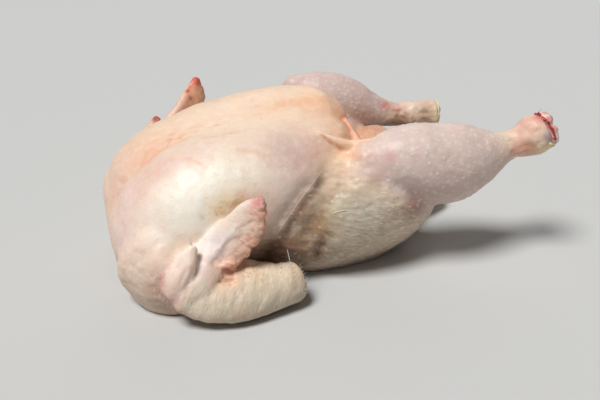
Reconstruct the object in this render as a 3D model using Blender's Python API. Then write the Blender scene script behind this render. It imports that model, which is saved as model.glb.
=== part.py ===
# A raw whole chicken, plucked and drawn, lying on its back: neck end at -X, legs at +X, its right side at -Y.
# It leans a little to its right, so the left side stands higher. It is one solid, and rests on its back at z = 0.
# The landmarks are in millimetres on a large bird, 331 mm from neck to hock; the finished skin is scaled to this one.
# The body is lofted through them: trunk, breast muscles, thighs, drumsticks, wings and folds of loose skin.

import math

import bmesh
import bpy
import numpy as np
from mathutils import Vector
from mathutils.kdtree import KDTree

# Driving sizes, in millimetres on the large bird
SIZE = 0.88                  # this bird against the large one: 291 mm from neck to hock
KEEL_HEIGHT = 115.0          # breastbone over the back, at the highest place
LOBE_SPREAD = 29.0           # each breast muscle's centre from the middle plane, at the widest
LEAN = math.radians(6.0)     # the body rolls this far to its right
MIDLINE = 12.0               # where the body's middle plane meets the resting plane

# Grain of the fused skin, and how far it is softened
BODY_VOXEL = 2.0
BODY_ROUNDS = 16
SKIN_VOXEL = 1.6
SKIN_ROUNDS = 3
TRIANGLES = 10800

METRE = 0.001


def spaced(rows, count):
    """Evenly spaced rows on a smooth curve through landmark rows, whose first three columns are a place."""
    rows = np.array(rows, float)
    steps = np.linalg.norm(np.diff(rows[:, :3], axis=0), axis=1)
    marks = np.concatenate([[0.0], np.cumsum(steps)])
    slopes = np.gradient(rows, marks, axis=0)
    places = np.linspace(0.0, marks[-1], count)
    before = np.clip(np.searchsorted(marks, places, side="right") - 1, 0, len(marks) - 2)
    span = (marks[before + 1] - marks[before])[:, None]
    t = (places - marks[before])[:, None] / span
    start, end = rows[before], rows[before + 1]
    return (start * (1 + 2 * t) * (1 - t) ** 2 + end * t * t * (3 - 2 * t)
            + span * (slopes[before] * t * (1 - t) ** 2 - slopes[before + 1] * t * t * (1 - t)))


def unit(vector):
    return vector / np.linalg.norm(vector)


def loft(rows, side, facing=None, power=2.0, rings=30, corners=28, ends=(0.8, 0.8)):
    """A closed skin through rows of x, y, z, half width along side, and half depth across it.

    The rings stand square to the spine, or all face one way where facing gives it.
    """
    rows = spaced(rows, rings)
    centres = rows[:, :3]
    tangents = np.gradient(centres, axis=0) if facing is None else np.tile(np.array(facing, float), (rings, 1))
    loops = []
    angles = np.arange(corners) * 2 * math.pi / corners
    across = np.sign(np.cos(angles)) * np.abs(np.cos(angles)) ** (2 / power)
    over = np.sign(np.sin(angles)) * np.abs(np.sin(angles)) ** (2 / power)

    def ring(centre, tangent, wide, deep):
        wide_axis = unit(side - tangent * np.dot(side, tangent))
        deep_axis = np.cross(tangent, wide_axis)
        return [Vector(centre + wide_axis * wide * a + deep_axis * deep * b) for a, b in zip(across, over)]

    cap_angles = [math.radians(a) for a in (72, 54, 36, 18)]
    side = np.array(side, float)
    first, last = unit(tangents[0]), unit(tangents[-1])
    head, foot = rows[0], rows[-1]
    reach = ends[0] * min(head[3], head[4])
    tips = [Vector(centres[0] - first * reach)]
    for a in cap_angles:
        loops.append(ring(centres[0] - first * reach * math.sin(a), first, head[3] * math.cos(a), head[4] * math.cos(a)))
    for row, tangent in zip(rows, tangents):
        loops.append(ring(row[:3], unit(tangent), row[3], row[4]))
    reach = ends[1] * min(foot[3], foot[4])
    for a in reversed(cap_angles):
        loops.append(ring(centres[-1] + last * reach * math.sin(a), last, foot[3] * math.cos(a), foot[4] * math.cos(a)))
    tips.append(Vector(centres[-1] + last * reach))

    shape = bmesh.new()
    loops = [[shape.verts.new(place) for place in loop] for loop in loops]
    for near, far in zip(loops, loops[1:]):
        for i in range(corners):
            j = (i + 1) % corners
            shape.faces.new((near[i], near[j], far[j], far[i]))
    for tip, loop in zip(tips, (loops[0], loops[-1])):
        point = shape.verts.new(tip)
        for i in range(corners):
            shape.faces.new((loop[i], loop[(i + 1) % corners], point))
    bmesh.ops.recalc_face_normals(shape, faces=shape.faces)
    return shape


def leaned(x, y, z):
    """A place given on the level body, as it lies when rolled to its right."""
    return (x, y * math.cos(LEAN) - z * math.sin(LEAN) + MIDLINE, y * math.sin(LEAN) + z * math.cos(LEAN))


def leaned_rows(rows):
    return [leaned(*row[:3]) + tuple(row[3:]) for row in rows]


LEAN_SIDE = (0.0, math.cos(LEAN), math.sin(LEAN))


def trunk():
    """Rib cage and back, under the breast: x, half width, drop below the keel's height, and bottom."""
    landmarks = (
        (-158, 40, 63, 10),      # neck skin
        (-151, 53, 48, 2),
        (-140, 60, 33, -3),      # wishbone
        (-118, 65, 16, -6),
        (-90, 66, 7, -8),
        (-40, 65, 0, -8),        # widest
        (-2, 58, 0, -8),
        (18, 50, 7, -8),
        (34, 46, 28, -6),        # behind the keel
        (56, 43, 50, -3),        # belly
        (78, 36, 59, 4),
        (94, 24, 69, 12),        # vent
    )
    rows = []
    for x, wide, drop, bottom in landmarks:
        top = KEEL_HEIGHT - drop
        rows.append((x, 0, (top + bottom) / 2, wide, (top - bottom) / 2))
    return loft(leaned_rows(rows), LEAN_SIDE, (1, 0, 0), power=2.8, rings=56, corners=48, ends=(0.25, 0.6))


# The breast muscles: x, how far it draws in from its spread, height, half width and half height.
# The left one is flatter towards the neck and fuller towards the legs.
RIGHT_LOBE = (
    (-157, 7, 44, 23, 21),
    (-151, 6, 46, 33, 30),
    (-139, 4, 50, 42, 38),
    (-118, 1, 57, 49, 47),
    (-90, 0, 62, 51, 50),
    (-60, 0, 64, 51, 51),
    (-25, 1, 66, 50, 50),
    (2, 3, 69, 43, 45),
    (20, 8, 74, 33, 36),
    (32, 13, 78, 22, 23),
)
LEFT_LOBE = (
    (-157, 8, 43, 22.5, 20.5),
    (-151, 6, 46.5, 33, 30.5),
    (-139, 5.5, 50.5, 42, 38.5),
    (-118, 4, 55.5, 46, 46),
    (-100, 3, 59, 47.5, 47.5),
    (-80, 1.5, 62.8, 49.5, 49.5),
    (-60, 1, 64.8, 51, 50.5),
    (-30, 2, 69, 50.5, 51),
    (0, 4, 72.5, 46.5, 48.5),
    (20, 9, 75.5, 37.5, 44),
    (31, 14, 79, 25.5, 32.5),
)


def breast_lobe(landmarks, hand):
    """One breast muscle, at -Y where hand is -1."""
    rows = [(x, hand * (LOBE_SPREAD - drawn), z, wide, high) for x, drawn, z, wide, high in landmarks]
    return loft(leaned_rows(rows), LEAN_SIDE, (1, 0, 0), power=2.1, rings=44, corners=40, ends=(0.25, 0.4))


def near_side_pieces():
    """Right side as it lies: shoulder, upper wing, thigh, drumstick and flank skin, and apart from them the hock."""
    shoulder = loft([(-136, -45, 30, 33, 26), (-124, -57, 24, 35, 28), (-106, -68, 24, 24, 22)], (0, 0, 1), rings=10)
    upper_wing = loft([(-112, -66, 28, 20, 18), (-84, -80, 22, 16, 17), (-50, -92, 18, 13, 14)], (0, 0, 1), rings=14)
    thigh = loft([
        (8, -29, 0, 57, 29),
        (10, -44, 18, 64, 29),
        (25, -52, 42, 60, 34),
        (33, -57, 66, 47, 30),
        (36, -59, 83, 30, 22),
    ], (1, 0, 0), (0, 0, 1), power=2.2, rings=26, corners=36, ends=(0.8, 0.6))
    drumstick = loft([
        (27, -62, 89, 14.5, 14.5),   # knee cap
        (38, -63, 88, 21, 21),
        (60, -66, 86, 27, 27),
        (80, -69, 80, 28, 32),       # calf
        (100, -73, 82, 25, 29),
        (118, -77, 86, 18, 20),
        (128, -79, 89, 12.5, 13),
        (137, -81, 91.5, 10, 10),    # ankle
    ], (0, 1, 0), rings=34, ends=(1.0, 0.8))
    hock = loft([
        (130, -79, 89, 9, 9),
        (143, -83, 94, 12, 13),
        (151, -85, 97.5, 15, 16),
        (158, -87, 101.5, 14.5, 15),
    ], (0, 1, 0), rings=16, ends=(0.8, 0.12))
    upper_knuckle = loft([(152, -84, 103, 7, 7), (159, -84, 106.5, 7, 7.5)], (0, 1, 0), rings=5, corners=16)
    lower_knuckle = loft([(155, -90, 94, 8, 8), (162, -91, 97, 7.5, 7.5)], (0, 1, 0), rings=5, corners=16)
    flank = loft([
        (-44, -54, 14, 16, 12),
        (-37, -59.5, 34, 19, 13),
        (-25, -61, 54, 21, 12),
        (-5, -59, 72, 25, 10),
        (12, -56, 86, 22, 9),
    ], (1, 0, 0), (0, 0, 1), rings=20)
    return [shoulder, upper_wing, thigh, drumstick, flank], [hock, upper_knuckle, lower_knuckle]


def far_side_pieces():
    """Left side, which stands higher: shoulder, upper wing, thigh and drumstick, and apart from them the hock."""
    shoulder = loft([(-138, 54, 40, 32, 28), (-122, 62, 42, 34, 30), (-104, 76, 40, 22, 21)], (0, 0, 1), rings=10)
    upper_wing = loft([(-112, 74, 42, 18, 18), (-84, 86, 36, 15, 16), (-56, 96, 30, 13, 13)], (0, 0, 1), rings=14)
    thigh = loft([
        (12, 41, 5, 54, 31),
        (12, 58, 24, 66, 29),
        (22, 67, 50, 62, 33),
        (31, 77, 74, 46, 29),
        (34, 84, 87, 28, 21),
    ], (1, 0, 0), (0, 0, 1), power=2.2, rings=26, corners=36, ends=(0.8, 0.6))
    drumstick = loft([
        (22, 92, 103, 13, 13),
        (35, 90, 98, 21, 20),
        (54, 86, 90, 26, 25),
        (73, 80, 84, 23, 22),
        (91, 74, 78, 16, 15),
        (108, 68, 73, 11, 11),
    ], (0, 1, 0), rings=30, ends=(1.0, 0.8))
    hock = loft([
        (104, 69, 74, 11, 11),
        (125, 64, 72, 11.5, 11.5),
        (140, 60, 72, 11, 11),
        (150, 57, 73, 9, 9),
    ], (0, 1, 0), rings=16, ends=(0.8, 0.15))
    return [shoulder, upper_wing, thigh, drumstick], [hock]


def tail():
    """The tail stump and the loose belly skin over the vent."""
    stump = loft(leaned_rows([(80, 0, 26, 30, 20), (102, 0, 24, 22, 14), (118, 0, 21, 16, 10), (126, 0, 19, 11, 7)]),
                 LEAN_SIDE, power=2.4, rings=16)
    flap = loft([(46, -16, 50, 26, 14), (62, 8, 50, 28, 15), (76, 30, 54, 24, 15), (80, 48, 60, 18, 14)],
                (1, 0, 0), rings=14)
    return [stump, flap]


def near_wing():
    """Forearm, hand and thumb of the right wing, folded in a Z with the hand up against the flank."""
    slab = unit(np.array((0, 0.66, 0.75)))
    forearm = loft([
        (-44, -91, 17, 15, 11),
        (-62, -94, 18, 17, 12),
        (-89, -95, 20, 20, 12),
        (-108, -91, 22, 19, 12),
        (-122, -82, 26, 15, 11),
    ], slab, rings=24)
    blade = unit(np.array((26, -14, -10)))
    hand = loft([
        (-122, -80, 30, 13, 10),
        (-107, -82, 40, 13, 8),
        (-89, -84, 52, 15, 6),
        (-76, -85, 65, 14, 5),
        (-68, -86, 77.5, 9, 4),
        (-63, -87, 84.5, 3, 2.4),
    ], blade, rings=24)
    thumb = loft([
        (-129, -86, 28, 8.5, 8),
        (-125, -90, 39, 7.5, 6.5),
        (-119, -90, 49, 6, 5),
        (-113.5, -88, 57.5, 3.6, 3),
    ], blade, rings=12)
    return [forearm, hand, thumb]


def far_wing():
    """Forearm, hand and thumb of the left wing, whose hand stands up past the breast."""
    slab = unit(np.array((0.2, -0.5, 0.85)))
    forearm = loft([
        (-50, 98, 25, 12, 10),
        (-60, 98, 33, 17, 12),
        (-78, 94, 45, 19, 12),
        (-100, 86, 58, 18, 12),
        (-122, 76, 68, 14, 11),
    ], slab, rings=24, ends=(1.0, 0.8))
    blade = unit(np.array((0.85, 0.35, -0.4)))
    hand = loft([
        (-122, 74, 68, 12, 9),
        (-105, 81, 79, 9.5, 7),
        (-84, 90, 91, 12, 5),
        (-69.5, 99, 103.5, 12, 4.5),
        (-65.5, 104, 112.5, 6.5, 4),
        (-65.5, 106, 118.5, 3, 2.5),
    ], blade, rings=24)
    thumb = loft([(-122, 75, 76, 6.5, 6), (-115, 75, 87, 5, 4.5), (-108, 75, 96.5, 3.6, 3.5)], blade, rings=12)
    return [forearm, hand, thumb]


def pleats():
    """Two raised pleats of loose skin, from the breast's rear to the right knee."""
    to_knee = loft([
        (-10, -34, 107, 3, 2),
        (-1, -43, 104, 4, 3),
        (7, -48, 100, 5, 3.5),
        (16, -50, 97, 5, 4),
        (27, -55, 98, 5, 4),
        (41, -63, 102, 4, 3),
    ], (0, 0, 1), rings=20, corners=12)
    behind_keel = loft([
        (36, 16, 96, 3, 2),
        (33, -2, 98, 4, 2.5),
        (29, -16, 99, 4.5, 3),
        (28, -28, 97, 4.5, 3),
        (29, -40, 93, 4, 3),
    ], (0, 0, 1), rings=16, corners=12)
    return [to_knee, behind_keel]


def placed(name, mesh):
    thing = bpy.data.objects.new(name, mesh)
    bpy.context.scene.collection.objects.link(thing)
    return thing


def applied(thing):
    """The mesh of an object with its modifiers applied; the object is removed."""
    graph = bpy.context.evaluated_depsgraph_get()
    mesh = bpy.data.meshes.new_from_object(thing.evaluated_get(graph))
    bpy.data.objects.remove(thing)
    return mesh


def fused(shapes, voxel):
    """One closed skin round overlapping closed shapes."""
    everything = bmesh.new()
    for shape in shapes:
        piece = bpy.data.meshes.new("piece")
        shape.to_mesh(piece)
        shape.free()
        everything.from_mesh(piece)
    mesh = bpy.data.meshes.new("joined")
    everything.to_mesh(mesh)
    everything.free()
    thing = placed("joined", mesh)
    remesh = thing.modifiers.new("Fuse", "REMESH")
    remesh.mode = "VOXEL"
    remesh.voxel_size = voxel
    return applied(thing)


def softened(mesh, rounds):
    thing = placed("softened", mesh)
    smooth = thing.modifiers.new("Soften", "SMOOTH")
    smooth.factor = 0.5
    smooth.iterations = rounds
    return applied(thing)


def thinned(mesh, triangles):
    thing = placed("thinned", mesh)
    thin = thing.modifiers.new("Facets", "DECIMATE")
    thin.ratio = triangles / sum(len(face.vertices) - 2 for face in mesh.polygons)
    return applied(thing)


def places_of(mesh):
    places = np.empty(len(mesh.vertices) * 3)
    mesh.vertices.foreach_get("co", places)
    return places.reshape(-1, 3)


def put_places(mesh, places):
    mesh.vertices.foreach_set("co", places.astype(np.float32).ravel())
    mesh.update()


def snapped(places, path, step=1.5):
    """Points along a path through landmarks, each moved to the nearest skin."""
    length = np.linalg.norm(np.diff(np.array(path, float), axis=0), axis=1).sum()
    tree = KDTree(len(places))
    for i, place in enumerate(places):
        tree.insert(place, i)
    tree.balance()
    return np.array([tree.find(point)[0] for point in spaced(path, int(length / step) + 2)])


def folded(places, normals, path, width, depth):
    """The skin pressed in by depth along a path, or raised where depth is below zero."""
    line = snapped(places, path)
    low, high = line.min(axis=0) - 3 * width, line.max(axis=0) + 3 * width
    near = np.flatnonzero(((places > low) & (places < high)).all(axis=1))
    gaps = np.linalg.norm(places[near, None, :] - line[None, :, :], axis=2)
    nearest = gaps.argmin(axis=1)
    away = gaps.min(axis=1)
    to_end = np.minimum(nearest, len(line) - 1 - nearest) / (0.25 * len(line))
    fade = np.clip(to_end, 0, 1) ** 2 * (3 - 2 * np.clip(to_end, 0, 1))
    places = places.copy()
    places[near] -= normals[near] * (depth * fade * np.exp(-(away / width) ** 2))[:, None]
    return places


VENT = {"centre": (92, 6, 46), "radius": 12, "depth": 14, "lip": 3}


def hollowed(places, centre, radius, depth, lip):
    """The skin pressed forward, towards -X, in a round hollow with a raised rim."""
    away = np.linalg.norm((places - np.array(centre, float)) * (0.35, 1, 1), axis=1) / radius
    places = places.copy()
    places[:, 0] += lip * np.exp(-((away - 1.3) / 0.35) ** 2) - depth * np.exp(-away ** 4)
    return places


def normals_of(mesh):
    normals = np.empty(len(mesh.vertices) * 3)
    mesh.vertex_normals.foreach_get("vector", normals)
    return normals.reshape(-1, 3)


FOLDS = (
    # path, width, depth
    (((-160, 0, 30), (-163, -1, 52), (-150, 0, 73), (-136, 0, 87), (-116, 0, 105), (-92, -4, 112)), 8, 4.0),
    (((2, -58, 94), (-12, -66, 82), (-30, -71, 74), (-44, -72, 58), (-54, -68, 38), (-59, -54, 18)), 7, 3.0),
    (((-150, -40, 14), (-162, -10, 22), (-162, 30, 24), (-150, 60, 26)), 6, 4.0),
)


def skin_material():
    skin = bpy.data.materials.new("raw chicken skin")
    skin.use_nodes = True
    shader = skin.node_tree.nodes["Principled BSDF"]
    shader.inputs["Base Color"].default_value = (0.76, 0.52, 0.38, 1.0)
    shader.inputs["Roughness"].default_value = 0.42
    shader.inputs["Metallic"].default_value = 0.0
    return skin


def as_shape(mesh):
    shape = bmesh.new()
    shape.from_mesh(mesh)
    return shape


def resting_skin():
    """The whole bird in millimetres, flat where it rests at z = 0."""
    near_flesh, near_hock = near_side_pieces()
    far_flesh, far_hock = far_side_pieces()
    lobes = [breast_lobe(LEFT_LOBE, 1), breast_lobe(RIGHT_LOBE, -1)]
    body = fused([trunk()] + lobes + near_flesh + far_flesh + tail(), BODY_VOXEL)
    body = as_shape(softened(body, BODY_ROUNDS))
    skin = fused([body] + near_hock + far_hock + near_wing() + far_wing() + pleats(), SKIN_VOXEL)
    skin = softened(skin, SKIN_ROUNDS)
    put_places(skin, hollowed(places_of(skin), **VENT))
    for path, width, depth in FOLDS:
        put_places(skin, folded(places_of(skin), normals_of(skin), path, width, depth))
    skin = softened(skin, 1)
    places = places_of(skin)
    places[:, 2] = np.maximum(places[:, 2], 0.0)
    put_places(skin, places)
    return thinned(skin, TRIANGLES)


def floor_centre(places):
    """The middle of the places in x and y, at the height of the lowest."""
    low, high = places.min(axis=0), places.max(axis=0)
    return np.array(((low[0] + high[0]) / 2, (low[1] + high[1]) / 2, low[2]))


def chicken():
    skin = resting_skin()
    places = places_of(skin)
    put_places(skin, (places - floor_centre(places)) * SIZE * METRE)
    skin.materials.append(skin_material())
    skin.shade_smooth()
    placed("chicken", skin)


for thing in list(bpy.data.objects):
    bpy.data.objects.remove(thing)
chicken()
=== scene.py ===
import math

import bmesh
import bpy
import numpy as np
from mathutils import Matrix, Vector
from mathutils.kdtree import KDTree


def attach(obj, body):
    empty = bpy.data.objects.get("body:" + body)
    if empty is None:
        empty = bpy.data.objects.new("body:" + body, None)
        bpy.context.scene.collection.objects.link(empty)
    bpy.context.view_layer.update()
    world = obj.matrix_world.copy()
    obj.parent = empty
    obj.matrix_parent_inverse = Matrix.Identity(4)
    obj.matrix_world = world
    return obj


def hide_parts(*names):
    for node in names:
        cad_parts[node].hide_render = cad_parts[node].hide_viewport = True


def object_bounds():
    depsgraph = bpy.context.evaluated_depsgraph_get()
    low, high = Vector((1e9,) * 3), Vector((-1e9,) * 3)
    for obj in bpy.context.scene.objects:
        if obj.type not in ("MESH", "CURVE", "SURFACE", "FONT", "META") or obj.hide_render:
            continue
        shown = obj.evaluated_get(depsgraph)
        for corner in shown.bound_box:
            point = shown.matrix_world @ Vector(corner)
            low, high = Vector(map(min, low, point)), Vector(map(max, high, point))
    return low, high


# A raw whole chicken on its back. Its skin is lofted and fused again, at a finer grain than the CAD solid.
# Landmarks are in millimetres on a large bird, 331 mm from neck to hock. birdSize scales it to this one.
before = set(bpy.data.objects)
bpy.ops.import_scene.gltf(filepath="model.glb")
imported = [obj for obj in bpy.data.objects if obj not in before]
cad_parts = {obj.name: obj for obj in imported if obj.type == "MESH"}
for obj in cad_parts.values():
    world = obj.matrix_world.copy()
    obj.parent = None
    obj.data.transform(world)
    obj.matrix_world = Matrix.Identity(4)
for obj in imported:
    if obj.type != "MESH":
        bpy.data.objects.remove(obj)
cadLow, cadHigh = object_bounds()
birdSize = 0.88
millimetre = 0.001
landmark = birdSize * millimetre
middle = np.array((2.661, 0.466, 0.0))  # of the large bird's box, which stands over the origin


def linear(hexColour):
    # sRGB hex to the linear colour that the shaders take
    values = [int(hexColour[i:i + 2], 16) / 255 for i in (1, 3, 5)]
    return tuple(v / 12.92 if v <= 0.04045 else ((v + 0.055) / 1.055) ** 2.4 for v in values) + (1.0,)


def addNode(tree, kind, inputs=None, **settings):
    # a node with its settings, values and links; gives its outputs
    node = tree.nodes.new(kind)
    for name, value in settings.items():
        setattr(node, name, value)
    for socket, value in (inputs or {}).items():
        if isinstance(value, bpy.types.NodeSocket):
            tree.links.new(value, node.inputs[socket])
        else:
            node.inputs[socket].default_value = value
    return node.outputs


def placed(name, mesh):
    thing = bpy.data.objects.new(name, mesh)
    bpy.context.scene.collection.objects.link(thing)
    return thing


def applied(thing):
    graph = bpy.context.evaluated_depsgraph_get()
    mesh = bpy.data.meshes.new_from_object(thing.evaluated_get(graph))
    bpy.data.objects.remove(thing)
    return mesh


def unit(vector):
    return vector / np.linalg.norm(vector)


def spaced(rows, count):
    # evenly spaced rows on a smooth curve through landmark rows, whose first three columns are a place
    rows = np.array(rows, float)
    steps = np.linalg.norm(np.diff(rows[:, :3], axis=0), axis=1)
    marks = np.concatenate([[0.0], np.cumsum(steps)])
    slopes = np.gradient(rows, marks, axis=0)
    places = np.linspace(0.0, marks[-1], count)
    before = np.clip(np.searchsorted(marks, places, side="right") - 1, 0, len(marks) - 2)
    span = (marks[before + 1] - marks[before])[:, None]
    t = (places - marks[before])[:, None] / span
    start, end = rows[before], rows[before + 1]
    return (start * (1 + 2 * t) * (1 - t) ** 2 + end * t * t * (3 - 2 * t)
            + span * (slopes[before] * t * (1 - t) ** 2 - slopes[before + 1] * t * t * (1 - t)))


endAngles = (18, 36, 54, 72)  # of the rings that round a loft's ends off


def loft(rows, side, facing=None, power=2.0, rings=30, corners=28, ends=(0.8, 0.8)):
    # a closed skin through rows of x, y, z, half width along side, and half depth across it
    rows = spaced(rows, rings)
    centres = rows[:, :3]
    if facing is None:
        tangents = np.gradient(centres, axis=0)
    else:
        tangents = np.tile(np.array(facing, float), (rings, 1))
    angles = np.arange(corners) * 2 * math.pi / corners
    across = np.sign(np.cos(angles)) * np.abs(np.cos(angles)) ** (2 / power)
    over = np.sign(np.sin(angles)) * np.abs(np.sin(angles)) ** (2 / power)
    side = np.array(side, float)

    def ring(centre, tangent, wide, deep):
        wideAxis = unit(side - tangent * np.dot(side, tangent))
        deepAxis = np.cross(tangent, wideAxis)
        return [Vector(centre + wideAxis * wide * a + deepAxis * deep * b) for a, b in zip(across, over)]

    def rounded(row, tangent, reach):
        # the rings and the tip that round an end off; reach is below zero at the first end
        reach *= min(row[3], row[4])
        loops = []
        for a in map(math.radians, endAngles):
            centre = row[:3] + tangent * reach * math.sin(a)
            loops.append(ring(centre, tangent, row[3] * math.cos(a), row[4] * math.cos(a)))
        return loops, Vector(row[:3] + tangent * reach)

    headLoops, headTip = rounded(rows[0], unit(tangents[0]), -ends[0])
    footLoops, footTip = rounded(rows[-1], unit(tangents[-1]), ends[1])
    loops = [ring(row[:3], unit(tangent), row[3], row[4]) for row, tangent in zip(rows, tangents)]
    loops = headLoops[::-1] + loops + footLoops

    shape = bmesh.new()
    loops = [[shape.verts.new(place) for place in loop] for loop in loops]
    for near, far in zip(loops, loops[1:]):
        for i in range(corners):
            j = (i + 1) % corners
            shape.faces.new((near[i], near[j], far[j], far[i]))
    for tip, loop in ((headTip, loops[0]), (footTip, loops[-1])):
        point = shape.verts.new(tip)
        for i in range(corners):
            shape.faces.new((loop[i], loop[(i + 1) % corners], point))
    bmesh.ops.recalc_face_normals(shape, faces=shape.faces)
    return shape


# The skeleton of the shape: each flesh form is a row of landmarks, x, y, z, half width and half depth
body = {
    "lean": math.radians(6.0),
    "midline": 12.0,
    "keelHeight": 115.0,
    "lobeSpread": 29.0,
    # x, half width, drop below the keel's height, bottom
    "trunk": (
        (-158, 40, 63, 10), (-151, 53, 48, 2), (-140, 60, 33, -3), (-118, 65, 16, -6), (-90, 66, 7, -8),
        (-40, 65, 0, -8), (-2, 58, 0, -8), (18, 50, 7, -8), (34, 46, 28, -6), (56, 43, 50, -3),
        (78, 36, 59, 4), (94, 24, 69, 12),
    ),
    # x, how far it draws in, height, half width and half height; the far lobe is fuller behind
    "nearLobe": (
        (-157, 7, 44, 23, 21), (-151, 6, 46, 33, 30), (-139, 4, 50, 42, 38), (-118, 1, 57, 49, 47),
        (-90, 0, 62, 51, 50), (-60, 0, 64, 51, 51), (-25, 1, 66, 50, 50), (2, 3, 69, 43, 45),
        (20, 8, 74, 33, 36), (32, 13, 78, 22, 23),
    ),
    "farLobe": (
        (-157, 8, 43, 22.5, 20.5), (-151, 6, 46.5, 33, 30.5), (-139, 5.5, 50.5, 42, 38.5),
        (-118, 4, 55.5, 46, 46), (-100, 3, 59, 47.5, 47.5), (-80, 1.5, 62.8, 49.5, 49.5),
        (-60, 1, 64.8, 51, 50.5), (-30, 2, 69, 50.5, 51), (0, 4, 72.5, 46.5, 48.5),
        (20, 9, 75.5, 37.5, 44), (31, 14, 79, 25.5, 32.5),
    ),
    "tail": ((80, 0, 26, 30, 20), (102, 0, 24, 22, 14), (118, 0, 21, 16, 10), (126, 0, 19, 11, 7)),
    "belly": ((46, -16, 50, 26, 14), (62, 8, 50, 28, 15), (76, 30, 54, 24, 15), (80, 48, 60, 18, 14)),
}
nearSide = {
    "shoulder": ((-136.4, -45, 34, 35, 26.4), (-124, -57, 24, 35, 28), (-106, -68, 24, 24, 22)),
    "upperWing": ((-112, -66, 28, 20, 18), (-84, -80, 22, 16, 17), (-50, -92, 18, 13, 14)),
    "thigh": (
        (8, -29, 0, 57, 29), (10, -44, 18, 64, 29), (25, -52, 42, 60, 34), (33, -57, 66, 47, 30),
        (36, -59, 83, 30, 22),
    ),
    "drumstick": (
        (27, -62, 89, 14.5, 14.5), (38, -63, 88, 21, 21), (60, -66, 86, 27, 27), (80, -69, 80, 28, 32),
        (100, -73, 82, 25, 29), (118, -77, 86, 18, 20), (128, -79, 89, 12.5, 13), (137, -81, 91.5, 10, 10),
    ),
    "flank": (
        (-44, -54, 14, 16, 12), (-37, -59.5, 34, 19, 13), (-25, -61, 54, 21, 12), (-5, -59, 72, 25, 10),
        (12, -56, 86, 22, 9),
    ),
    "hock": (
        (130, -79, 89, 9, 9), (143, -83, 94, 12, 13), (150, -85, 97.5, 15, 16),
        (158.3, -87.3, 101.8, 14.2, 14.8),
    ),
    "forearm": (
        (-44, -91, 17, 15, 11), (-62, -94, 18, 17, 12), (-89, -95, 20, 20, 12), (-108, -91, 22, 19, 12),
        (-122, -82, 26, 15, 11),
    ),
    "hand": (
        (-122, -81, 30, 13, 11), (-107, -84, 40, 13.5, 9.5), (-89, -84, 52, 15, 6), (-76, -85, 65, 14, 5),
        (-68, -86, 77.5, 9, 4), (-63, -87, 84.5, 3, 2.4),
    ),
    "thumb": (
        (-128.5, -87, 28, 10, 8.5), (-123.5, -90.5, 39, 9.2, 7), (-118, -91, 49, 7.6, 5.6),
        (-113.2, -89, 57.5, 4.4, 3.6),
    ),
    "wristPad": ((-123, -89.5, 20, 12, 9.5), (-113.5, -91.5, 31, 14, 9.6), (-104, -89.6, 41.5, 11, 7)),
    "slab": (0, 0.66, 0.75),
    "blade": (26, -14, -10),
}
farSide = {
    "shoulder": ((-138, 54, 40, 32, 28), (-122, 62, 42, 34, 30), (-104, 76, 40, 22, 21)),
    "upperWing": ((-112, 74, 42, 18, 18), (-84, 86, 36, 15, 16), (-56, 96, 30, 13, 13)),
    "thigh": (
        (12, 41, 5, 54, 31), (12, 58, 24, 66, 29), (22, 67, 50, 62, 33), (31, 77, 74, 46, 29),
        (34, 84, 87, 28, 21),
    ),
    "drumstick": (
        (22, 92, 103, 13, 13), (35, 90, 98, 21, 20), (54, 86, 90, 26, 25), (73, 80, 84, 23, 22),
        (91, 74, 78, 16, 15), (108, 68, 73, 11, 11),
    ),
    "hock": (
        (104, 69, 74, 11, 11), (113, 67, 73, 10.4, 10.2), (127, 63, 72, 12.2, 12.4),
        (140, 60, 72.5, 11.8, 12.0), (148.2, 57.5, 73, 11, 11.2),
    ),
    "forearm": (
        (-50, 98, 25, 12, 10), (-60, 98, 33, 17, 12), (-78, 94, 45, 19, 12), (-100, 86, 58, 18, 12),
        (-122, 76, 68, 14, 11),
    ),
    "hand": (
        (-122, 74, 68, 12, 9), (-105, 81, 79, 9.5, 7), (-84, 90, 91, 12, 5), (-70.5, 99, 103.5, 12, 4.5),
        (-67.2, 104, 112.5, 7.6, 4), (-66.2, 106, 118.3, 3.2, 2.5),
    ),
    "thumb": ((-122, 75, 76, 6.5, 6), (-115, 75, 87, 5, 4.5), (-108, 75, 96.5, 3.6, 3.5)),
    "slab": (0.2, -0.5, 0.85),
    "blade": (0.85, 0.35, -0.4),
}
looseSkin = {
    "toKnee": (
        (-10, -34, 107, 3, 2), (-1, -43, 104, 4, 3), (7, -48, 100, 5, 3.5), (16, -50, 97, 5, 4),
        (27, -55, 98, 5, 4), (41, -63, 102, 4, 3),
    ),
    "elbow": (
        (-106, -88, 46, 1.6, 2.2), (-98, -93, 43.5, 1.8, 2.6), (-90, -94.5, 42.5, 1.6, 2.2),
        (-83, -93, 44, 1.2, 1.4),
    ),
    "behindKeel": (
        (36, 16, 96, 3, 2), (33, -2, 98, 4, 2.5), (29, -16, 99, 4.5, 3), (28, -28, 97, 4.5, 3),
        (29, -40, 93, 4, 3),
    ),
}
grain = {"bodyVoxel": 2.0, "bodyRounds": 16, "skinVoxel": 1.22, "skinRounds": 5, "triangles": 194000}


def leaned(rows):
    # places given on the level body, as they lie when it is rolled to its right
    c, s = math.cos(body["lean"]), math.sin(body["lean"])
    return [(x, y * c - z * s + body["midline"], y * s + z * c) + tuple(rest) for x, y, z, *rest in rows]


leanSide = (0.0, math.cos(body["lean"]), math.sin(body["lean"]))
xAxis, yAxis, zAxis = (1, 0, 0), (0, 1, 0), (0, 0, 1)


def trunk():
    rows = []
    for x, wide, drop, bottom in body["trunk"]:
        top = body["keelHeight"] - drop
        rows.append((x, 0, (top + bottom) / 2, wide, (top - bottom) / 2))
    return loft(leaned(rows), leanSide, xAxis, power=2.8, rings=56, corners=48, ends=(0.25, 0.6))


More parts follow.
